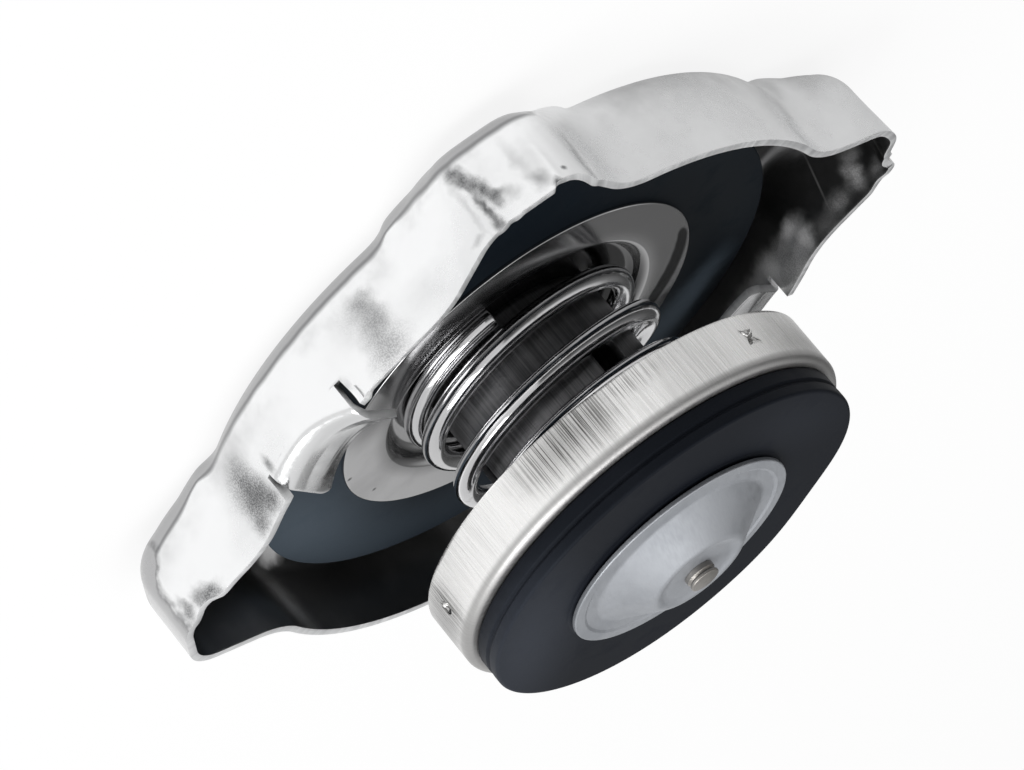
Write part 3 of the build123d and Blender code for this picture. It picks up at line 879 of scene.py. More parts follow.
INNER_SCRATCH_AND_REFLECTIONS = (
    # Pale painted reflections on the dark inside, from the right ear to the far tongue.
    StainOrPaintedLight(-109.4, 34.0, 7.6, 3.2, 1.7, 0.95, 0.15),
    StainOrPaintedLight(-107.9, 34.2, 9.4, 2.2, 2.4, 1.0, 0.15),
    StainOrPaintedLight(-110.8, 33.8, 9.6, 3.6, 2.8, 0.62, 0.3),
    StainOrPaintedLight(-113.0, 33.7, 10.8, 4.4, 2.2, 0.68, 0.45),
    StainOrPaintedLight(-113.6, 33.7, 8.0, 3.6, 2.2, 0.55, 0.3),
    StainOrPaintedLight(-116.0, 33.7, 9.6, 4.6, 3.2, 0.62, 0.45),
    StainOrPaintedLight(-119.4, 33.6, 8.2, 3.6, 3.0, 0.95, 0.2),
    StainOrPaintedLight(-123.5, 33.4, 8.2, 4.6, 2.6, 0.9, 0.1),
    StainOrPaintedLight(-129.0, 33.2, 8.0, 5.0, 2.4, 0.7, 0.1),
    StainOrPaintedLight(-98.6, 39.5, 8.8, 1.2, 2.8, 0.85, 0.3),
    StainOrPaintedLight(-97.4, 40.2, 7.0, 1.8, 1.6, 0.5, 0.2),
    StainOrPaintedLight(-101.4, 37.5, 9.6, 2.2, 1.7, 0.55, 0.35),
    StainOrPaintedLight(-104.5, 35.8, 10.4, 3.2, 2.0, 0.30, 0.25),
    StainOrPaintedLight(-96.0, 41.2, 10.0, 1.6, 1.6, 0.45, 0.3),
    # A real scratch line.
    StainOrPaintedLight(-101.7, 36.9, 6.2, 0.12, 5.6, 0.35, 0.0, lean=-11.0, ragged=False),
    # Pale painted reflections inside the left ear and on the crown's inner floor.
    StainOrPaintedLight(116.8, 33.7, 7.6, 3.6, 7.0, 0.45, 0.15, lean=12.0),
    StainOrPaintedLight(120.4, 33.2, 1.7, 3.6, 1.8, 1.0, 0.05, crisp=1.5),
    StainOrPaintedLight(118.4, 33.2, 2.6, 2.4, 1.2, 0.7, 0.05),
)
NECK_PAINTED_SHEEN = (
    # Painted sheen on the neck gasket.
    StainOrPaintedLight(104.0, 26.6, 5.7, 30.0, 3.0, 0.95, 0.1, across=14.0),
    StainOrPaintedLight(150.0, 27.0, 5.7, 16.0, 3.0, 0.22, 0.0, across=9.0),
    StainOrPaintedLight(-117.5, 26.8, 5.7, 6.0, 3.0, 0.40, 0.0, across=3.4),
    StainOrPaintedLight(-126.0, 26.8, 5.7, 8.0, 3.0, 1.0, 0.0, across=4.4),
    StainOrPaintedLight(-134.0, 25.2, 5.7, 10.0, 3.0, 0.70, 0.0, across=5.0),
)
SEAL_PAINTED_SHEEN = (
    # Painted sheen on the face of the pressure seal.
    StainOrPaintedLight(84.0, 18.0, 31.0, 26.0, 4.0, 0.42, 0.15, across=10.0),
    StainOrPaintedLight(-60.0, 17.0, 31.0, 14.0, 3.0, 0.10, 0.15, across=6.0),
)
DISC_MARKS_AND_SHADE = (
    # Two black specks.
    StainOrPaintedLight(93.4, 20.4, 6.1, 0.42, 2.0, 1.0, 0.0, across=0.42, ragged=False),
    StainOrPaintedLight(112.5, 19.4, 6.1, 0.36, 2.0, 1.0, 0.0, across=0.36, ragged=False),
    # Painted dark reflection near the disc's rim, between 8 and 56 degrees.
    StainOrPaintedLight(8.0, 18.4, 6.1, 10.0, 2.0, 0.75, 0.0, across=4.6, ragged=False),
    StainOrPaintedLight(32.0, 18.2, 6.1, 10.0, 2.0, 0.90, 0.0, across=4.6, ragged=False),
    StainOrPaintedLight(56.0, 18.2, 6.1, 9.0, 2.0, 0.75, 0.0, across=4.0, ragged=False),
    # A dark mark on the dish rim.
    StainOrPaintedLight(103.3, 14.9, 5.3, 1.5, 1.5, 0.9, 0.2, across=1.5),
    StainOrPaintedLight(-87.5, 20.0, 6.1, 2.4, 2.0, 1.0, 0.0, across=0.80, ragged=False, crisp=3.0),
    StainOrPaintedLight(-92.5, 19.75, 6.1, 2.8, 2.0, 1.0, 0.0, across=0.95, ragged=False, crisp=3.0),
    StainOrPaintedLight(-98.0, 19.45, 6.1, 3.0, 2.0, 1.0, 0.0, across=1.05, ragged=False, crisp=3.0),
    StainOrPaintedLight(-104.0, 19.15, 6.1, 3.2, 2.0, 1.0, 0.0, across=1.15, ragged=False, crisp=3.0),
    StainOrPaintedLight(-110.0, 18.8, 6.1, 3.2, 2.0, 1.0, 0.0, across=1.25, ragged=False, crisp=3.0),
    StainOrPaintedLight(-116.0, 18.5, 6.1, 3.2, 2.0, 1.0, 0.0, across=1.25, ragged=False, crisp=3.0),
)
CUP_BRUSHING = (
    StainOrPaintedLight(17.0, 22.3, 23.2, 10.5, 4.6, 1.0, 0.0),
    StainOrPaintedLight(-2.0, 22.3, 22.6, 7.0, 2.2, 0.6, 0.0),
    StainOrPaintedLight(78.6, 22.3, 24.2, 4.6, 4.6, 1.0, 0.0),
    StainOrPaintedLight(92.0, 22.3, 23.6, 3.4, 3.6, 0.6, 0.0),
)
CUP_SHADES = (
    StainOrPaintedLight(-62.0, 21.0, 26.0, 12.0, 7.5, 0.75, 0.0, across=6.0),
    StainOrPaintedLight(-39.5, 22.3, 24.3, 0.8, 0.8, 0.7, 0.0),
    StainOrPaintedLight(94.0, 22.3, 24.0, 9.0, 6.0, 0.60, 0.0, across=5.0),
    StainOrPaintedLight(80.0, 22.3, 24.0, 7.0, 6.0, 0.35, 0.0),
    StainOrPaintedLight(18.0, 22.3, 23.2, 9.0, 4.4, 0.55, 0.1),
)
SHELL_DENTS = (
    Dent(4.9, 7.9, 0.6, 3.8, 0.40),
    Dent(3.2, 8.8, 0.5, 2.4, 0.24, lean=0.45),
    Dent(4.0, 8.2, 0.35, 2.6, -0.12),
    Dent(5.2, 4.6, 1.4, 1.4, 0.22),
    Dent(-10.2, 9.6, 0.8, 3.0, 0.28),
    Dent(-4.6, 8.0, 0.5, 3.0, -0.14),
    Dent(64.9, 7.4, 4.2, 3.2, 0.20),
    Dent(79.8, 10.4, 1.8, 1.8, 0.35),
    Dent(82.4, 10.2, 1.0, 2.2, 0.45),
    Dent(27.8, 6.5, 3.6, 3.2, 0.16),
    Dent(36.4, 10.4, 1.0, 1.8, 0.80),
    Dent(60.4, 10.6, 0.8, 1.9, 0.50),
    Dent(-86.5, 4.0, 6.0, 9.0, 0.75),
    Dent(-81.0, 9.4, 2.2, 2.4, -0.35),
    Dent(-90.2, 11.4, 2.0, 2.4, 0.85),
    Dent(-93.4, 11.2, 0.9, 2.0, 0.80),
    Dent(-97.0, 11.2, 1.2, 1.6, 0.25),
)
SHELL_NICKS = (
    Nick(-8.4, -3.5, 0.5, 0.45, 2.2),
    Nick(-94.0, -91.6, 0.45, 1.6, 1.6),
    Nick(-99.0, -97.0, 0.25, 0.8, 0.8),
    Nick(80.0, 82.6, 0.55, 0.8, 0.8),
    Nick(59.9, 60.8, 0.45, 0.8, 0.9),
)


@dataclass
class CapShell:
    """Pressed shell with four grip lobes, a sunk field and two bayonet tongues."""

    sheet: float = 0.8
    skirt_radius: float = 34.6
    height: float = 11.2
    lobe_reach: float = 42.9
    tip_half: float = 4.8
    flank_lean: float = 30.0
    tip_radius: float = 5.2
    root_radius: float = 9.0
    crown_flat: float = 29.6
    dome_start: float = 33.0
    crown_drop: float = 2.4
    crown_radius: float = 3.8
    root_rounding: float = 2.4
    root_end: float = 3.6
    lobe_span: float = 24.0
    dense: tuple[tuple[float, float], ...] = ((-12.0, 9.0), (-102.0, -80.0))
    # Width of the painted shade strip along the crown's rounding.
    strip_width: float = 0.95
    pale_side: float = 13.0
    field_radius: float = 26.8
    field_mouth: float = 27.26
    field_depth: float = 3.3
    hole_radius: float = 3.6
    slit_foot: float = 8.3
    slit_start: float = 37.0
    slit_end: float = 59.5
    tongue_sides: tuple[float, float] = (38.2, 58.5)
    tongue_tips: tuple[float, float] = (39.4, 65.8)
    tip_turn: float = 1.7
    tongue_edge: float = 27.5
    tongue_level: float = 10.0
    tongue_low: float = 52.0
    tongue_rises: tuple[float, float] = (2.1, 0.9)
    tongue_bend: float = 1.9
    bead_radius: float = 29.6
    bead_half: float = 1.5
    bead_height: float = 0.5
    nick_reach: float = 1.5
    edge_levels: tuple[float, ...] = (8.8, 9.3, 9.8, 10.3, 10.7, 11.0)
    dents: tuple[Dent, ...] = ()
    nicks: tuple[Nick, ...] = ()

    def dome(self, radius: np.ndarray) -> np.ndarray:
        """Height of the crown: an arc that leaves the flat ring and drops away under the lobes."""
        span = self.lobe_reach - self.dome_start
        arc = (span ** 2 + self.crown_drop ** 2) / (2 * self.crown_drop)
        out = np.maximum(radius - self.dome_start, 0.0)
        return arc - np.sqrt(arc ** 2 - out ** 2)

    def edge_rounding(self, angles: np.ndarray) -> np.ndarray:
        """Rounding from crown to skirt: tighter in the hollow roots of the lobes than elsewhere."""
        out = self.outline_radius(angles) - self.skirt_radius
        root = smooth(out, 0.0, 1.0) * (1.0 - smooth(out, 1.0, self.root_end))
        return self.crown_radius + (self.root_rounding - self.crown_radius) * root

    def outline_radius(self, angles: np.ndarray) -> np.ndarray:
        """Radius of the skirt's outside at angles in degrees.

        A ray from the axis meets the flat tip, the tip's arc, the leaning flank, the hollow
        arc of the root or the round skirt, whichever stands at that angle in the lobe.
        """
        turn = np.radians(np.abs((angles + 45.0) % 90.0 - 45.0))
        ray = np.stack([np.cos(turn), np.sin(turn)], axis=-1)
        lean = math.radians(self.flank_lean)
        normal = np.array([math.sin(lean), math.cos(lean)])
        along = np.array([-math.cos(lean), math.sin(lean)])
        tip = np.array([self.lobe_reach, self.tip_half])
        setback = self.tip_radius * math.tan(0.25 * math.pi - 0.5 * lean)
        tip_centre = np.array([self.lobe_reach - self.tip_radius, self.tip_half - setback])
        tip_touch = tip + along * setback
        offset = float(normal @ tip) + self.root_radius
        slide = math.sqrt((self.skirt_radius + self.root_radius) ** 2 - offset ** 2)
        root_centre = offset * normal - slide * along
        root_touch = root_centre - self.root_radius * normal

        def hit(centre: np.ndarray, radius: float, side: float) -> np.ndarray:
            """Distance along the rays to a circle, on its near (-1) or far (1) side."""
            middle = ray @ centre
            inside = radius ** 2 - (centre @ centre - middle ** 2)
            return middle + side * np.sqrt(np.maximum(inside, 0.0))

        def angle_of(point: np.ndarray) -> float:
            """Angle of a point from the middle of the lobe."""
            return math.atan2(point[1], point[0])

        flank = float(normal @ tip) / np.maximum(ray @ normal, 1e-6)
        ends = (tip_centre + np.array([self.tip_radius, 0.0]), tip_touch, root_touch, root_centre)
        zones = [turn < angle_of(end) for end in ends]
        shapes = [self.lobe_reach / ray[..., 0], hit(tip_centre, self.tip_radius, 1.0), flank,
                  hit(root_centre, self.root_radius, -1.0)]
        return np.select(zones, shapes, self.skirt_radius)

    def outline(self, angles: np.ndarray) -> tuple[np.ndarray, np.ndarray]:
        """Points of the skirt's outside and their outward normals, both in plan."""

        def point(at: np.ndarray) -> np.ndarray:
            """Plan point at an angle."""
            return on_circle(self.outline_radius(at), np.radians(at))

        small = 0.15
        tangent = unit(point(angles + small) - point(angles - small))
        return point(angles), np.stack([tangent[:, 1], -tangent[:, 0]], axis=-1)

    def columns(self) -> np.ndarray:
        """Angles of the grid: closer at the lobes, and on both sides of every slit and tongue."""
        span = self.lobe_span
        fine = [np.arange(-span, span, 0.5) + 90.0 * lobe for lobe in range(4)]
        dense = [np.arange(start, end, 0.25) for start, end in self.dense]
        coarse = [np.arange(span, 90.0 - span, 1.0) + 90.0 * lobe for lobe in range(4)]
        marks = (self.slit_start, self.tongue_sides[0], self.tongue_sides[1], self.slit_end)
        angles = np.unique(np.round(np.concatenate([*fine, *dense, *coarse]) % 360.0, 4))
        special = np.array([mark + half for half in (0.0, 180.0) for mark in marks])
        near = np.min(np.abs(angles[:, None] - special[None]), axis=1) < 0.24
        return np.sort(np.concatenate([angles[~near], special]))

    def pressed(self, grid: np.ndarray, angles: np.ndarray) -> np.ndarray:
        """Skirt rows pushed in by their dents: depth times a bell across and a bell along."""
        moved = grid.copy()
        height = grid[..., 2]
        outward = unit(grid[..., :2])
        for dent in self.dents:
            across = away(angles, dent.angle)[None, :] + dent.lean * (height - dent.height)
            push = dent.depth * bell(across, dent.wide) * bell(height - dent.height, dent.tall)
            moved[..., :2] -= push[..., None] * outward
        start, end = height - self.slit_foot, self.height - self.slit_foot
        climb = np.clip((start + self.nick_reach) / (end + self.nick_reach), 0.0, 1.0)
        for nick in self.nicks:
            past_start, past_end = away(angles, nick.start), away(angles, nick.end)
            lower = (nick.depth * smooth(past_start, -nick.start_blend, nick.start_blend)
                     * (1.0 - smooth(past_end, -nick.end_blend, nick.end_blend)))
            moved[..., 2] -= lower[None, :] * climb ** 2
        return moved

    def body_rows(self, angles: np.ndarray) -> tuple[np.ndarray, np.ndarray]:
        """Grid and map of the sheet's outside from the rivet hole to the foot of the slits.

        Field, rim and flat are turned. The dome's rows run from the flat circle to the line
        where the crown's rounding begins, and the rounding is a ball that rolls inside the
        skirt: its centre is one radius in from the wall and one radius above the dome.
        """
        around = np.radians(angles)
        middle = rounded([(self.hole_radius, self.field_depth), (self.field_radius, self.field_depth, 1.2),
                          (self.field_mouth, 0.0, 1.0), (self.crown_flat, 0.0)],
                         closed=False, steps=7)
        middle = refine(middle, 2.4)
        rows = [carried_round(middle, around)]
        edge, normal = self.outline(angles)
        size = self.edge_rounding(angles)
        ball = edge - size[:, None] * normal
        reach = np.linalg.norm(ball, axis=-1)
        slope = np.arctan((self.dome(reach + 0.01) - self.dome(reach - 0.01)) / 0.02)
        level = self.dome(reach) + size / np.cos(slope)
        swing = np.linspace(1.0, 0.0, 14)[:, None] * (0.5 * math.pi - slope)[None]
        plan = ball[None] + (size * np.cos(swing))[..., None] * normal[None]
        rounding = lifted(plan, level[None] - size * np.sin(swing))
        share = np.linspace(0.0, 1.0, 9)[1:-1, None, None]
        plan = (1 - share) * on_circle(self.crown_flat, around)[None] + share * rounding[0, None, :, :2]
        slope_rows = lifted(plan, self.dome(np.linalg.norm(plan, axis=-1)))
        share = np.linspace(0.0, 1.0, 13)[1:, None]
        height = (1 - share) * level[None] + share * self.slit_foot
        rows += [slope_rows, rounding, lifted(edge, height)]
        inward = np.full((len(middle) + len(slope_rows), len(angles)), FAR_INSIDE)
        climb = np.concatenate([inward, -swing / self.strip_start(angles, size), height - level[None]])
        return self.pressed(np.concatenate(rows), angles), self.charted(angles, climb)

    def strip_start(self, angles: np.ndarray, size: np.ndarray) -> np.ndarray:
        """Angle on the rounding, from the wall, at which the painted shade strip along the crown begins.

        The rounding turns away from the pale side at an angle whose tangent follows the cosine
        of the way round. The strip is measured back from there, and ends beside two lobes.
        """
        limb = np.arctan(2.79 * np.maximum(np.cos(np.radians(away(angles, self.pale_side))), 0.05))
        at = away(angles, 0.0)
        width = self.strip_width * (1.0 - 0.5 * smooth(at, 45.0, 70.0))
        start = np.maximum(limb - np.arccos(1.0 - width / size), 0.06)
        return start + 3.0 * (1.0 - smooth(at, -22.0, -8.0) * (1.0 - smooth(at, 105.0, 125.0)))

    @staticmethod
    def charted(angles: np.ndarray, climb: np.ndarray) -> np.ndarray:
        """Map of the skin: share of a turn, and millimetres above the crown's rounding."""
        return np.stack(np.broadcast_arrays(angles[None] / 360.0, climb), axis=-1)

    def skirt_rows(self, angles: np.ndarray) -> np.ndarray:
        """Grid of the skirt from the foot of the slits to its free edge."""
        edge, _ = self.outline(angles)
        levels = np.array([self.slit_foot, *self.edge_levels, self.height])
        return self.pressed(lifted(edge, levels[:, None] + 0.0 * angles), angles)

    def tongue_rows(self, angles: np.ndarray) -> np.ndarray:
        """Grid of a tongue: up from the slits' foot, over the bend and in along the ledge.

        The ledge stands at its lowest at one angle and rises with the square of the way to
        its sides. Its sides are straight in plan, from the skirt to the free edge. The bead
        is half a wave across the ledge, and fades with the cosine of the way to its ends.
        """
        share = (angles - angles[0]) / (angles[-1] - angles[0])
        bend = np.radians(np.linspace(0.0, 90.0, 9))
        ledge = np.linspace(1.0, 0.0, 25)[1:]
        outer = self.skirt_radius
        bend_end = outer - self.tongue_bend
        radius = np.concatenate([[outer], bend_end + self.tongue_bend * np.cos(bend),
                                 self.tongue_edge + (bend_end - self.tongue_edge) * ledge])[:, None]
        side = [np.array([r * math.cos(math.radians(a)), r * math.sin(math.radians(a))])
                for a, r in ((self.tongue_sides[0], outer), (self.tongue_tips[0], self.tongue_edge),
                             (self.tongue_sides[1], outer), (self.tongue_tips[1], self.tongue_edge))]
        depth = (outer - radius) / (outer - self.tongue_edge)
        first = (1 - depth) * side[0] + depth * side[1]
        second = (1 - depth) * side[2] + depth * side[3]
        start = np.degrees(np.arctan2(first[:, 1], first[:, 0]))[:, None]
        end = np.degrees(np.arctan2(second[:, 1], second[:, 0]))[:, None]
        end = end - self.tip_turn * np.clip((depth - 0.72) / 0.28, 0.0, 1.0) ** 3
        at = start + (end - start) * share[None]
        low, high = self.tongue_rises
        before = np.clip((self.tongue_low - at) / (self.tongue_low - self.tongue_tips[0]), 0, 1.2)
        after = np.clip((at - self.tongue_low) / (self.tongue_tips[1] - self.tongue_low), 0, 1.2)
        level = self.tongue_level + low * before ** 2 + high * after ** 2
        foot = np.full_like(level, self.slit_foot)
        corner = np.minimum(self.tongue_bend, level - self.slit_foot - 0.05)
        climb = np.concatenate([[0.0], np.sin(bend), np.ones(len(ledge))])[:, None]
        height = np.where(np.arange(len(radius))[:, None] == 0, foot, level - corner + corner * climb)
        ends = np.cos(0.5 * math.pi * np.clip(1.25 * np.maximum(before, after), 0, 1))
        bead = np.clip(1 - ((radius - self.bead_radius) / self.bead_half) ** 2, 0, 1)
        height = height + self.bead_height * ends * bead ** 1.5
        return lifted(on_circle(radius, np.radians(at)), height)

    def build(self, *finishes: bpy.types.Material) -> None:
        """Makes the shell and dresses its outside, its inside and its cut edge."""
        angles = self.columns()
        skin = Patchwork("pressed_shell")
        grid, chart = self.body_rows(angles)
        skin.add(grid, ring=True, uv=chart)
        for half in (0.0, 180.0):
            inside = (angles >= self.tongue_sides[0] + half) & (angles <= self.tongue_sides[1] + half)
            grid = self.tongue_rows(angles[inside] - half)
            if half:
                grid[..., :2] *= -1.0
            skin.add(grid, uv=self.charted(angles[inside], np.full(grid.shape[:2], FAR_BELOW)))
            stretch = np.concatenate([angles, angles + 360.0])
            start, end = self.slit_end + half, self.slit_start + half + 180.0
            stretch = stretch[(stretch >= start) & (stretch <= end)]
            grid = self.skirt_rows(stretch)
            skin.add(grid, uv=self.charted(stretch, np.full(grid.shape[:2], FAR_BELOW)))
        shell = skin.build(mapped=True)
        thicken(shell, self.sheet, 0.2, inner=1, rim=2)
        dress(shell, finishes, "shell", Slot.SHELL, "cap_shell")


# ---------------------------------------------------------------- column


@dataclass
class NeckSeal:
    """Flat rubber ring under the shell that closes the upper rim of the neck."""

    inner: float = 16.6
    outer: float = 30.3
    low: float = 4.2
    top: float = 5.7

    def build(self, finish: bpy.types.Material) -> None:
        """Makes the ring and dresses it."""
        ring = turned_piece("neck_gasket", [
            (self.inner, self.low), (self.outer, self.low, 0.12),
            (self.outer, self.top, 0.18), (self.inner, self.top, 0.12)], 240)
        dress(ring, finish, "shell", Slot.RUBBER, "upper_gasket")


@dataclass
class SpringColumn:
    """Dished disc, centre rivet, slotted barrel and main spring, which turn in the shell."""

    floor: float = 4.25
    disc_sheet: float = 0.4
    gasket_top: float = 5.7
    disc_radius: float = 20.9
    dish_radius: float = 15.5
    dish_lean: float = 22.0
    shank: float = 3.5
    head_radius: float = 6.4
    head_levels: tuple[float, float] = (1.55, 3.25)
    tail_radius: float = 5.2
    tail_rise: float = 1.3
    barrel_radius: float = 9.0
    barrel_sheet: float = 0.8
    barrel_corner: float = 1.4
    corner_room: float = 2.2
    foot_room: float = 0.4
    barrel_foot: float = 22.8
    foot_overhang: float = 0.7
    slot_width: float = 3.0
    slot_length: float = 8.8
    slot_low: float = 12.0
    slot_first: float = -29.5
    wire: float = 2.3
    coil_radius: float = 12.2
    coil_pitch: float = 5.1
    coil_lean: float = 1.5
    coil_low: float = 5.82
    coil_high: float = 23.23
    opening: float = 1.4
    closing: float = 0.8
    first_angle: float = 11.0

    def disc(self, finish: bpy.types.Material) -> None:
        """Thin disc whose rim lies on the gasket and whose dish hangs inside it."""
        lean = math.tan(math.radians(self.dish_lean))
        drop = (self.gasket_top - self.floor) * lean
        step = self.disc_sheet * (1 / math.cos(math.radians(self.dish_lean)) - lean)
        top = self.gasket_top + self.disc_sheet
        low_top = self.floor + self.disc_sheet
        disc = turned_piece("spring_seat_disc", [
            (self.shank, self.floor), (self.dish_radius - drop, self.floor, 1.3),
            (self.dish_radius, self.gasket_top, 0.9), (self.disc_radius, self.gasket_top),
            (self.disc_radius, top, 0.14), (self.dish_radius - step, top, 1.3),
            (self.dish_radius - step - drop, low_top, 0.9), (self.shank, low_top)], 240, steps=8)
        dress(disc, finish, "column", Slot.POLISHED, "spring_disc")

    def rivet(self, finish: bpy.types.Material) -> None:
        """Rivet with a low round head in the sunk field and its tail on the barrel's floor."""
        low, high = self.head_levels
        floor = self.floor + self.disc_sheet + self.barrel_sheet
        top = floor + self.tail_rise
        rivet = turned_piece("centre_rivet_head", [
            (0.0, low, 0), (self.head_radius, low, 1.2), (self.head_radius, high, 0.1), (self.shank, high),
            (self.shank, floor), (self.tail_radius, floor), (self.tail_radius, top, 0.9), (0.0, top, 0)],
            120, steps=8)
        dress(rivet, finish, "column", Slot.DRAWN, "centre_rivet")

    def slot_line(self, ray: np.ndarray) -> np.ndarray:
        """Points of a slot's outline, in millimetres from its middle, that rays lead to.

        Rays near the level of the middle meet its straight sides, at heights that go with
        their sine. The others meet the round ends.
        """
        half, straight = 0.5 * self.slot_width, 0.5 * (self.slot_length - self.slot_width)
        turn = np.arctan2(ray[:, 1], ray[:, 0])
        ends = on_circle(half, turn)
        ends[:, 1] += np.sign(np.sin(turn)) * straight
        level = np.sin(turn) / LEVEL_RAYS * (straight + half * LEVEL_RAYS)
        past = np.maximum(1 - ((np.abs(level) - straight) / half) ** 2, 0)
        wide = half * np.sign(np.cos(turn)) * np.where(np.abs(level) > straight, np.sqrt(past), 1.0)
        sides = np.stack([wide, level], axis=-1)
        return np.where((np.abs(np.sin(turn)) < LEVEL_RAYS)[:, None], sides, ends)

    def slotted_third(self, edge: np.ndarray, low: float, high: float) -> np.ndarray:
        """Grid of a third of the wall, in angle and height, from its slot to its border.

        Args:
            edge: shares of the way across, one for each column along the lower border.
            low: height of the lower border.
            high: height of the upper border.

        Returns:
            Points (rows, n, 2), the first row along the slot.
        """
        third, rise = TURN / 3, high - low
        side = np.linspace(0.0, 1.0, 30, endpoint=False)
        frame = np.concatenate([
            np.stack([edge * third, low + 0 * edge], axis=-1),
            np.stack([third + 0 * side, low + side * rise], axis=-1),
            np.stack([third * (1 - edge), high + 0 * edge], axis=-1),
            np.stack([0 * side, high - side * rise], axis=-1)])
        middle = np.array([0.5 * third, self.slot_low + 0.5 * self.slot_length])
        wrap = np.array([self.barrel_radius, 1.0])
        slot = self.slot_line((frame - middle) * wrap / np.array([1.0, 1.6])) / wrap + middle
        share = np.linspace(0.0, 1.0, 8)[:, None, None] ** 1.5
        return (1 - share) * slot[None] + share * frame[None]

    def barrel(self, finish: bpy.types.Material) -> None:
        """Drawn barrel with three flow slots.

        Its outside is a skin: the floor and corner are turned, and every third of the wall is
        a grid between the outline of a slot and the border of that third, drawn in angle and
        height and then wrapped round the axis.
        """
        bottom = self.floor + self.disc_sheet
        foot = self.barrel_foot - self.barrel_sheet
        low, high = bottom + self.corner_room, foot - self.foot_room
        start = math.radians(self.slot_first - 60.0)
        edge = np.linspace(0.0, 1.0, 24, endpoint=False)
        sheet = self.slotted_third(edge, low, high)
        skin = Patchwork("flow_barrel")
        for index in range(3):
            angle = start + index * (TURN / 3) + sheet[..., 0]
            skin.add(lifted(on_circle(self.barrel_radius, angle), sheet[..., 1]), ring=True)
        around = start + np.concatenate([edge * (TURN / 3) + index * (TURN / 3) for index in range(3)])
        base = rounded([(self.shank, bottom), (self.barrel_radius, bottom, self.barrel_corner),
                        (self.barrel_radius, low)], closed=False, steps=8)
        lip = rounded([(self.barrel_radius, high), (self.barrel_radius, foot, 0.25),
                       (self.barrel_radius + self.foot_overhang, foot)], closed=False, steps=4)
        skin.add(carried_round(refine(base, 1.5), around), ring=True)
        skin.add(carried_round(lip, around), ring=True)
        barrel = skin.build()
        thicken(barrel, self.barrel_sheet, 0.06)
        dress(barrel, finish, "column", Slot.DRAWN, "bell_barrel")

    def spring(self, finish: bpy.types.Material) -> None:
        """Coil spring: closed turns at both ends, an open pitch between and a slight lean.

        Height follows the square of the turn while the pitch opens, then a straight line,
        then the square again as it closes. The lean adds the cosine of the turn times a bell.
        """
        rise = self.coil_high - self.coil_low
        ends = (self.opening + self.closing) / 2
        turns = rise / self.coil_pitch + ends
        turn = np.linspace(0.0, turns, int(turns * 84))
        height = self.coil_pitch * (turn - self.opening / 2)
        height = np.where(turn < self.opening, self.coil_pitch * turn ** 2 / (2 * self.opening), height)
        height = np.where(turn > turns - self.closing,
                          rise - self.coil_pitch * (turns - turn) ** 2 / (2 * self.closing), height)
        free = np.sin(math.pi * np.minimum(turn / (turns - ends / 2), 1.0)) ** 1.5
        height = self.coil_low + height + self.coil_lean * free * np.cos(TURN * turn)
        coil = wire_piece("main_coil", turn, height, self.coil_radius, self.wire, self.first_angle, 28)
        dress(coil, finish, "column", Slot.POLISHED, "main_spring")
        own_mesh(coil)


def wire_piece(name: str, turn: np.ndarray, height: np.ndarray, radius: float, wire: float,
               first_angle: float, sides: int) -> bpy.types.Object:
    """Round wire along a coil.

    A point of the wire is the coil's point, plus half the wire's thickness times the cosine
    of an angle outwards and its sine along the third direction of the coil. The cut ends are
    flat, with a broken edge.

    Args:
        name: name of the piece.
        turn: turns from the start, one value for each ring.
        height: height of the wire's middle at each ring.
        radius: radius of the coil.
        wire: thickness of the wire.
        first_angle: angle of the start in degrees.
        sides: points of a ring.

    Returns:
        The new object, with the length along the coil and the way round the wire as its map.
    """
    angle = math.radians(first_angle) + TURN * turn
    centre = lifted(on_circle(radius, angle), height)
    tangent = unit(np.gradient(centre, axis=0))
    outward = lifted(on_circle(1.0, angle), 0 * angle)
    third = np.cross(tangent, outward)
    caps = np.array([0.0, 0.86, 1.0])
    shift = np.array([0.0, 0.0, 0.14]) * wire / 2
    centre = np.concatenate([centre[:1] + tangent[:1] * shift[:, None], centre[1:-1],
                             centre[-1:] - tangent[-1:] * shift[::-1, None]])
    outward, third = (np.concatenate([np.repeat(way[:1], 3, 0), way[1:-1], np.repeat(way[-1:], 3, 0)])
                      for way in (outward, third))
    size = np.concatenate([caps, np.ones(len(turn) - 2), caps[::-1]]) * wire / 2
    round_wire = full_turn(sides)[None, :, None]
    grid = centre[:, None] + size[:, None, None] * (np.cos(round_wire) * outward[:, None]
                                                    + np.sin(round_wire) * third[:, None])
    length = np.linspace(0.0, TURN * radius * turn[-1], len(centre))
    uv = np.stack(np.broadcast_arrays(length[:, None], np.arange(sides)[None] / sides), axis=-1)
    return Patchwork(name).add(grid, ring=True, uv=uv).build(mapped=True)


# ---------------------------------------------------------------- pressure valve


class StakeMark(Enum):
    """What a staking punch leaves on the band."""

    ROUND = "round"
    CROSS = "cross"


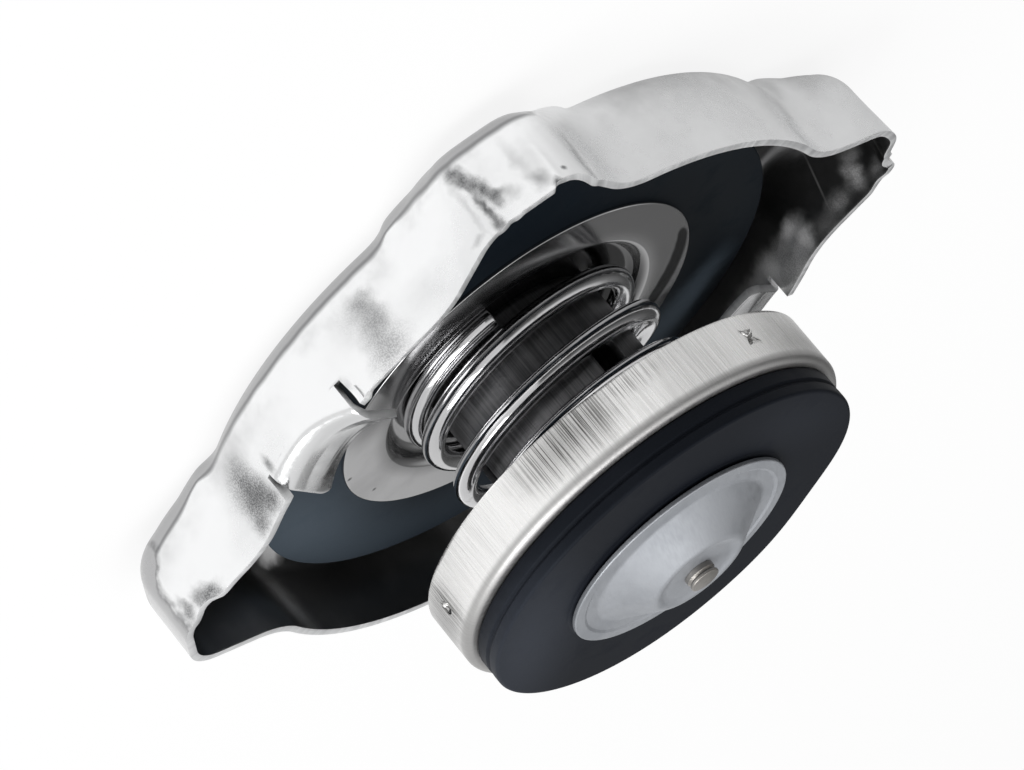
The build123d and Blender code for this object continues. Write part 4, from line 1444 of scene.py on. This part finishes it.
@dataclass
class PressureValve:
    """Staked cup with its rubber seal, plate, collar and the small spring."""

    cup_radius: float = 22.3
    cup_sheet: float = 0.8
    cup_rim: float = 21.6
    cup_mouth: float = 27.8
    mouth_radius: float = 20.65
    corner: float = 1.45
    stake_height: float = 24.25
    stake_half: float = 1.1
    stakes: tuple[tuple[float, StakeMark], ...] = ((-39.5, StakeMark.CROSS), (78.6, StakeMark.ROUND),
                                                   (199.5, StakeMark.ROUND))
    seal_face: float = 31.0
    seal_radius: float = 21.25
    seal_hole: float = 10.4
    back: float = 25.95
    back_radius: float = 21.2
    bevel_levels: tuple[float, float] = (26.3, 26.95)
    bevel_radius: float = 20.55
    lip_radii: tuple[float, float] = (12.0, 12.85)
    lip_rise: float = 0.34
    parting: float = 0.3
    rim_sway: tuple[tuple[float, float, float], ...] = ((-125.0, 19.0, -1.1), (170.0, 32.0, 0.8))
    collar_radii: tuple[float, float, float, float] = (9.1, 9.9, 10.6, 14.0)
    collar_levels: tuple[float, float, float, float] = (21.3, 22.0, 24.4, 25.1)
    coil_ends: tuple[float, float] = (20.9, 25.1)
    coil_inset: float = 0.32
    coil_turns: float = 4.0
    coil_radius: float = 2.9
    coil_wire: float = 0.6

    def staked(self, mark: StakeMark, across: np.ndarray, along: np.ndarray) -> np.ndarray:
        """How far a stake mark moves the skin outwards, over millimetres from its middle.

        It pushes the skin in by its depth times a round bell, or by the stronger of two
        crossing grooves inside a round bell, and leaves a low ridge round it.
        """
        far = np.hypot(across, along)
        if mark is StakeMark.CROSS:
            groove = np.maximum(bell(across - along, 0.19), bell(across + along, 0.19))
            push = 0.60 * groove * bell(far, 0.78) + 0.12 * bell(far, 0.8)
        else:
            push = 0.5 * (1 - smooth(far, 0.25, 0.8))
        return 0.04 * bell(far - 0.95, 0.22) - push

    def cup(self, finish: bpy.types.Material) -> None:
        """Band turned in over the back of the seal, with its stake marks."""
        profile = rounded([(self.mouth_radius, self.cup_mouth),
                           (self.cup_radius, self.cup_mouth, self.corner),
                           (self.cup_radius, self.cup_rim)], closed=False, steps=10)
        top = self.cup_mouth - self.corner - 0.3
        near = self.stake_height + np.linspace(-self.stake_half, self.stake_half, 34)
        heights = np.unique(np.concatenate([np.linspace(self.cup_rim, top, 16), near]))[::-1]
        heights = heights[heights <= top]
        wall = np.stack([np.full(len(heights), self.cup_radius), heights], axis=-1)
        profile = np.concatenate([profile[:-1], wall])
        dense = np.concatenate([angle + np.linspace(-3.0, 3.0, 41) for angle, _ in self.stakes]) % 360.0
        angles = np.unique(np.round(np.concatenate([np.arange(0.0, 360.0, 1.5), dense]), 3))
        grid = carried_round(profile, np.radians(angles))
        for angle, mark in self.stakes:
            across = np.radians(away(angles, angle))[None] * self.cup_radius
            moved = self.staked(mark, across, profile[:, 1, None] - self.stake_height)
            grid[..., :2] += moved[..., None] * unit(grid[..., :2])
        cup = Patchwork("valve_cup_band").add(grid, ring=True).build()
        thicken(cup, self.cup_sheet, 0.08)
        dress(cup, finish, "pressure_valve", Slot.CUP, "valve_cup")

    def seal(self, finish: bpy.types.Material) -> None:
        """Moulded rubber ring with a raised lip under the small valve and a parting groove."""
        neck = self.mouth_radius - 0.05
        front = self.cup_mouth + 0.05
        middle = front + 0.55 * (self.seal_face - front)
        bevel_low, bevel_top = self.bevel_levels
        lip_inner, lip_outer = self.lip_radii
        lip = self.seal_face + self.lip_rise
        seal = turned_piece("pressure_ring", [
            (self.seal_hole, self.back), (self.back_radius, self.back, 0.15), (self.back_radius, bevel_low),
            (self.bevel_radius, bevel_top), (neck, bevel_top), (neck, front), (self.seal_radius, front, 0.3),
            (self.seal_radius, middle - self.parting, 0.15), (self.seal_radius - self.parting, middle, 0.1),
            (self.seal_radius, middle + self.parting, 0.15), (self.seal_radius, self.seal_face, 0.34),
            (lip_outer, self.seal_face, 0.3), (lip_inner, lip, 0.2), (self.seal_hole, lip, 0.2)],
            300, steps=7)
        self.worn(seal)
        dress(seal, finish, "pressure_valve", Slot.RUBBER, "pressure_seal")

    def worn(self, seal: bpy.types.Object) -> None:
        """Moves the seal's rim in and out a little round the axis, as set rubber stands.

        Each stretch adds a bell round its angle, times the smooth way from the face to the rim.
        """
        count = len(seal.data.vertices)
        flat = np.zeros(count * 3)
        seal.data.vertices.foreach_get("co", flat)
        points = flat.reshape(-1, 3)
        radius = np.hypot(points[:, 0], points[:, 1])
        angle = np.degrees(np.arctan2(points[:, 1], points[:, 0]))
        swell = sum(size * bell(away(angle, middle), width) for middle, width, size in self.rim_sway)
        share = smooth(radius, 0.62 * self.seal_radius * MM, self.seal_radius * MM)
        share = share * (points[:, 2] > self.cup_mouth * MM)
        points[:, :2] += (swell * MM * share / np.maximum(radius, 1e-9))[:, None] * points[:, :2]
        seal.data.vertices.foreach_set("co", points.ravel())
        seal.data.update()

    def collar(self, finish: bpy.types.Material) -> None:
        """Collar whose lip catches the foot of the barrel, and the spring's seat."""
        hole, throat, neck, flange = self.collar_radii
        low, lip, seat, top = self.collar_levels
        collar = turned_piece("foot_collar", [
            (hole, low, 0.2), (neck, low, 0.9), (neck, seat, 0.3), (flange, seat, 0.2), (flange, top),
            (throat, top), (throat, lip), (hole, lip)], 160)
        dress(collar, finish, "pressure_valve", Slot.DRAWN, "bell_retainer")

    def small_spring(self, finish: bpy.types.Material) -> None:
        """Open coil that holds the small valve shut."""
        low, high = self.coil_ends[0] + self.coil_inset, self.coil_ends[1] - self.coil_inset
        turn = np.linspace(0.0, self.coil_turns, 190)
        height = low + (high - low) * turn / self.coil_turns
        coil = wire_piece("vacuum_coil", turn, height, self.coil_radius, self.coil_wire, 0.0, 12)
        dress(coil, finish, "pressure_valve", Slot.POLISHED, "vacuum_spring")
        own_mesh(coil)


@dataclass
class VacuumValve:
    """Small pressed valve at the centre, with its stem and keeper."""

    flange: float = 12.66
    under: float = 31.39
    sheet: float = 0.5
    foot: float = 9.8
    crest: float = 5.1
    rise: float = 2.9
    land: float = 4.1
    land_drop: float = 0.36
    groove: float = 0.15
    stem: float = 1.25
    shoulder_radius: float = 2.2
    shoulder_sheet: float = 1.0
    head_radius: float = 1.6
    head_waist: float = 1.4
    head_rise: float = 1.2
    tail_radius: float = 1.9
    tail: float = 19.6
    keeper_radii: tuple[float, float] = (3.5, 4.2)
    keeper_levels: tuple[float, float, float] = (20.2, 20.9, 21.5)

    def valve(self, finish: bpy.types.Material) -> None:
        """Pressed disc: flange, shallow groove, coned dome and a sunk land."""
        face = self.under + self.sheet
        top = face + self.rise
        floor = top - self.land_drop
        ring = 0.5 * (self.flange + self.foot)
        valve = turned_piece("vacuum_disc", [
            (self.flange, self.under, 0.08), (self.flange, face, 0.16), (ring + 0.3, face, 0.2),
            (ring, face - self.groove, 0.2), (self.foot, face - self.groove, 0.9), (self.crest, top, 2.6),
            (self.land, floor, 2.2), (self.stem, floor), (self.stem, floor - self.sheet),
            (self.land + 0.2, floor - self.sheet, 0.3), (self.crest - 0.2, top - 0.6, 0.3),
            (self.foot - 0.6, self.under)], 240, steps=9)
        dress(valve, finish, "vacuum_valve", Slot.ALLOY, "vacuum_valve")

    def stub(self, finish: bpy.types.Material) -> None:
        """Stem with a grooved head on the land, a shoulder under it and a spread tail."""
        face = self.under + self.sheet
        floor = face + self.rise - self.land_drop
        shoulder = floor - self.sheet
        below, seat, head = shoulder - self.shoulder_sheet, self.keeper_levels[0], floor + self.head_rise
        stem = turned_piece("valve_stem", [
            (0.0, self.tail, 0), (self.tail_radius, self.tail, 0.3), (self.tail_radius, seat),
            (self.stem, seat), (self.stem, below), (self.shoulder_radius, below),
            (self.shoulder_radius, shoulder), (self.stem, shoulder), (self.stem, floor),
            (self.head_radius, floor), (self.head_radius, floor + 0.5, 0.08),
            (self.head_waist, floor + 0.72, 0.06), (self.head_radius, floor + 0.92, 0.08),
            (self.head_radius, head, 0.2), (0.0, head, 0)], 72)
        dress(stem, finish, "vacuum_valve", Slot.ALLOY, "vacuum_stem")

    def keeper(self, finish: bpy.types.Material) -> None:
        """Cupped washer on the stem's tail."""
        hollow, outer = self.keeper_radii
        low, floor, rim = self.keeper_levels
        keeper = turned_piece("stem_keeper", [
            (self.stem, low), (outer, low, 0.35), (outer, rim), (hollow, rim), (hollow, floor),
            (self.stem, floor)], 96)
        dress(keeper, finish, "vacuum_valve", Slot.DRAWN, "keeper_washer")


# ---------------------------------------------------------------- studio


def level_way(angle: float) -> tuple[float, float, float]:
    """Level direction at an angle in degrees."""
    return math.cos(math.radians(angle)), math.sin(math.radians(angle)), 0.0


@dataclass(frozen=True)
class Lamp:
    """Square soft lamp that faces the cap, in degrees, metres and watts."""

    name: str
    azimuth: float
    elevation: float
    distance: float
    size: float
    power: float


@dataclass
class Studio:
    """Pale floor, soft lights, plain surroundings and the camera."""

    place: tuple[float, float, float] = (0.462168, 0.106700, 0.177895)
    right: tuple[float, float, float] = (-0.03985487, -0.79912484, 0.59984255)
    up: tuple[float, float, float] = (0.39372348, -0.56431019, -0.7256279)
    back: tuple[float, float, float] = (0.91836453, 0.20725229, 0.33712472)
    lens: float = 183.59
    dark_side: float = 283.0
    dark_edge: tuple[float, float] = (-0.05, 0.03)
    bright_room: tuple[tuple[float, float], ...] = ((0.0, 0.6), (0.48, 0.75), (0.60, 0.66), (0.75, 0.62),
                                                    (1.0, 0.8))
    dark_room: tuple[tuple[float, float], ...] = ((0.0, 0.3), (0.49, 0.05), (0.60, 0.08), (0.72, 0.18),
                                                  (0.80, 0.6), (1.0, 0.8))
    pale_side: float = 75.0
    floor_half: float = 3000.0
    floor_level: float = -0.05
    lamps: tuple[Lamp, ...] = (Lamp("key", 75.0, 42.0, 0.9, 0.55, 5.0),
                               Lamp("top", 20.0, 80.0, 1.0, 0.6, 2.5))

    def camera(self) -> None:
        """Camera at the photograph's viewing angle."""
        data = bpy.data.cameras.new("camera")
        data.lens, data.sensor_width = self.lens, 36.0
        data.clip_start, data.clip_end = 0.01, 20.0
        camera = bpy.data.objects.new("camera", data)
        bpy.context.scene.collection.objects.link(camera)
        columns = (self.right, self.up, self.back, self.place)
        rows = [[column[axis] for column in columns] for axis in range(3)]
        camera.matrix_world = Matrix([*rows, [0.0, 0.0, 0.0, 1.0]])
        bpy.context.scene.camera = camera

    def floor(self) -> None:
        """Pale floor that the camera and the metal see as white, with the cap's shadow kept."""
        span = np.linspace(-self.floor_half, self.floor_half, 3)
        level = np.full((3, 3), self.floor_level)
        grid = np.stack(np.broadcast_arrays(span[None, :], span[:, None], level), axis=-1)
        floor = Patchwork("floor").add(grid).build()
        g = Graph("floor")
        g.finish(Base_Color=(0.8, 0.8, 0.8), Roughness=0.9, Specular_IOR_Level=0.1)
        path = g.node("ShaderNodeLightPath").outputs
        seen = g.math("MAXIMUM", path["Is Camera Ray"], path["Is Glossy Ray"])
        seen = g.math("MAXIMUM", seen, path["Is Transmission Ray"])
        lit = g.vector("DOT_PRODUCT", g.vector("NORMALIZE", g.place()), level_way(self.pale_side))
        strength = g.math("MAXIMUM", g.ranged(lit, -0.45, 0.1, 0.55, 1.0), path["Is Camera Ray"])
        glow = g.node("ShaderNodeEmission", {"Color": (1, 1, 1, 1), "Strength": strength}).outputs[0]
        share = g.math("SUBTRACT", g.times(seen, 0.86), g.times(path["Is Glossy Ray"], 0.20))
        mixed = g.node("ShaderNodeMixShader", {0: share, 1: g.shader.outputs[0], 2: glow}).outputs[0]
        g.feed(g.tree.nodes["Material Output"].inputs["Surface"], mixed)
        floor.data.materials.append(g.material)

    def surroundings(self) -> None:
        """White to the camera; to everything else a pale room with one dark side.

        Each side has its own ramp over the height of a direction. A smooth step over the
        direction's share towards the dark side goes from one ramp to the other.
        """
        world = bpy.data.worlds.new("surroundings")
        bpy.context.scene.world = world
        world.use_nodes = True
        world.node_tree.nodes.clear()
        g = Nodes(world.node_tree)
        way = g.node("ShaderNodeTexCoord").outputs["Generated"]
        level = g.ranged(g.parts(way)[2], -1.0, 1.0, soft=False)
        side = g.ranged(g.vector("DOT_PRODUCT", way, level_way(self.dark_side)), *self.dark_edge)
        room = g.mix(side, g.ramp(level, self.bright_room), g.ramp(level, self.dark_room))
        pale = g.node("ShaderNodeBackground", {0: room}).outputs[0]
        white = g.node("ShaderNodeBackground", {0: (1, 1, 1, 1)}).outputs[0]
        seen = g.node("ShaderNodeLightPath").outputs["Is Camera Ray"]
        chosen = g.node("ShaderNodeMixShader", {0: seen, 1: pale, 2: white}).outputs[0]
        g.node("ShaderNodeOutputWorld", {0: chosen})

    @staticmethod
    def light(lamp: Lamp) -> None:
        """Adds a lamp."""
        data = bpy.data.lights.new(lamp.name, "AREA")
        data.energy, data.size, data.shape = lamp.power, lamp.size, "SQUARE"
        made = bpy.data.objects.new(lamp.name, data)
        bpy.context.scene.collection.objects.link(made)
        turn, climb = math.radians(lamp.azimuth), math.radians(lamp.elevation)
        ray = np.array([math.cos(climb) * math.cos(turn), math.cos(climb) * math.sin(turn), math.sin(climb)])
        side = unit(np.cross([0.0, 0.0, 1.0], ray))
        up = np.cross(ray, side)
        rows = [[side[axis], up[axis], ray[axis], ray[axis] * lamp.distance] for axis in range(3)]
        made.matrix_world = Matrix([*rows, [0.0, 0.0, 0.0, 1.0]])

    def build(self) -> None:
        """Sets up the whole studio."""
        self.camera()
        self.floor()
        self.surroundings()
        for lamp in self.lamps:
            self.light(lamp)
        bpy.context.scene.view_settings.view_transform = "Standard"


# ---------------------------------------------------------------- main


def main() -> None:
    """Builds the cap around the frame."""
    logging.basicConfig(level=logging.INFO, format="%(name)s: %(message)s")
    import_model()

    drawn = DrawnSteel().material()
    neck_rubber = Rubber(painted_sheen_areas=NECK_PAINTED_SHEEN).material()
    # Its third colour is the pale blue of the painted sheen.
    seal_rubber = Rubber("pressure_rubber", (0.0045, 0.0055, 0.0085), (0.010, 0.011, 0.015),
                         (0.052, 0.060, 0.078), gloss=0.115, sheen=(0.80, 0.90, 1.0),
                         painted_sheen_areas=SEAL_PAINTED_SHEEN).material()
    alloy = ValveAlloy().material()
    stub = ValveAlloy("stem_steel", (0.37, 0.355, 0.335), (0.17, 0.16, 0.145), 0.36).material()
    wire = SpringSteel().material()

    # The strip colour is the grey of the outside's painted shade strip and face.
    outside = ShellPlating(stains_and_painted_light=SHELL_STAINS_AND_SHADE, strip=(0.47, 0.47, 0.475))
    # The inside is a darkened copy of the plating, as painted shade, with pale painted reflections laid on
    # it.
    inside = ShellPlating("shaded_inner_plating", (0.17, 0.17, 0.172), (0.34, 0.34, 0.34), (0.97, 0.97, 0.97),
                          0.33, INNER_SCRATCH_AND_REFLECTIONS, matte=1.0)
    cut = DrawnSteel("cut_edge", (0.54, 0.545, 0.55), (0.72, 0.725, 0.73), 0.38, 0.6, CUT_EDGE_SHADE).material()
    CapShell(dents=SHELL_DENTS, nicks=SHELL_NICKS).build(outside.material(), inside.material(), cut)
    NeckSeal().build(neck_rubber)

    column = SpringColumn()
    column.disc(PolishedSheet(stains_and_painted_light=DISC_MARKS_AND_SHADE).material())
    column.rivet(drawn)
    column.barrel(drawn)
    column.spring(wire)

    pressure = PressureValve()
    pressure.cup(SatinBand(brushed=CUP_BRUSHING, shaded=CUP_SHADES).material())
    pressure.seal(seal_rubber)
    pressure.collar(drawn)
    pressure.small_spring(wire)

    vacuum = VacuumValve()
    vacuum.valve(alloy)
    vacuum.stub(stub)
    vacuum.keeper(drawn)

    plate = bpy.data.objects.get("valve_plate")
    if plate is not None:
        plate.data.materials.clear()
        plate.data.materials.append(drawn)

    Studio().build()


if __name__ == "__main__":
    main()
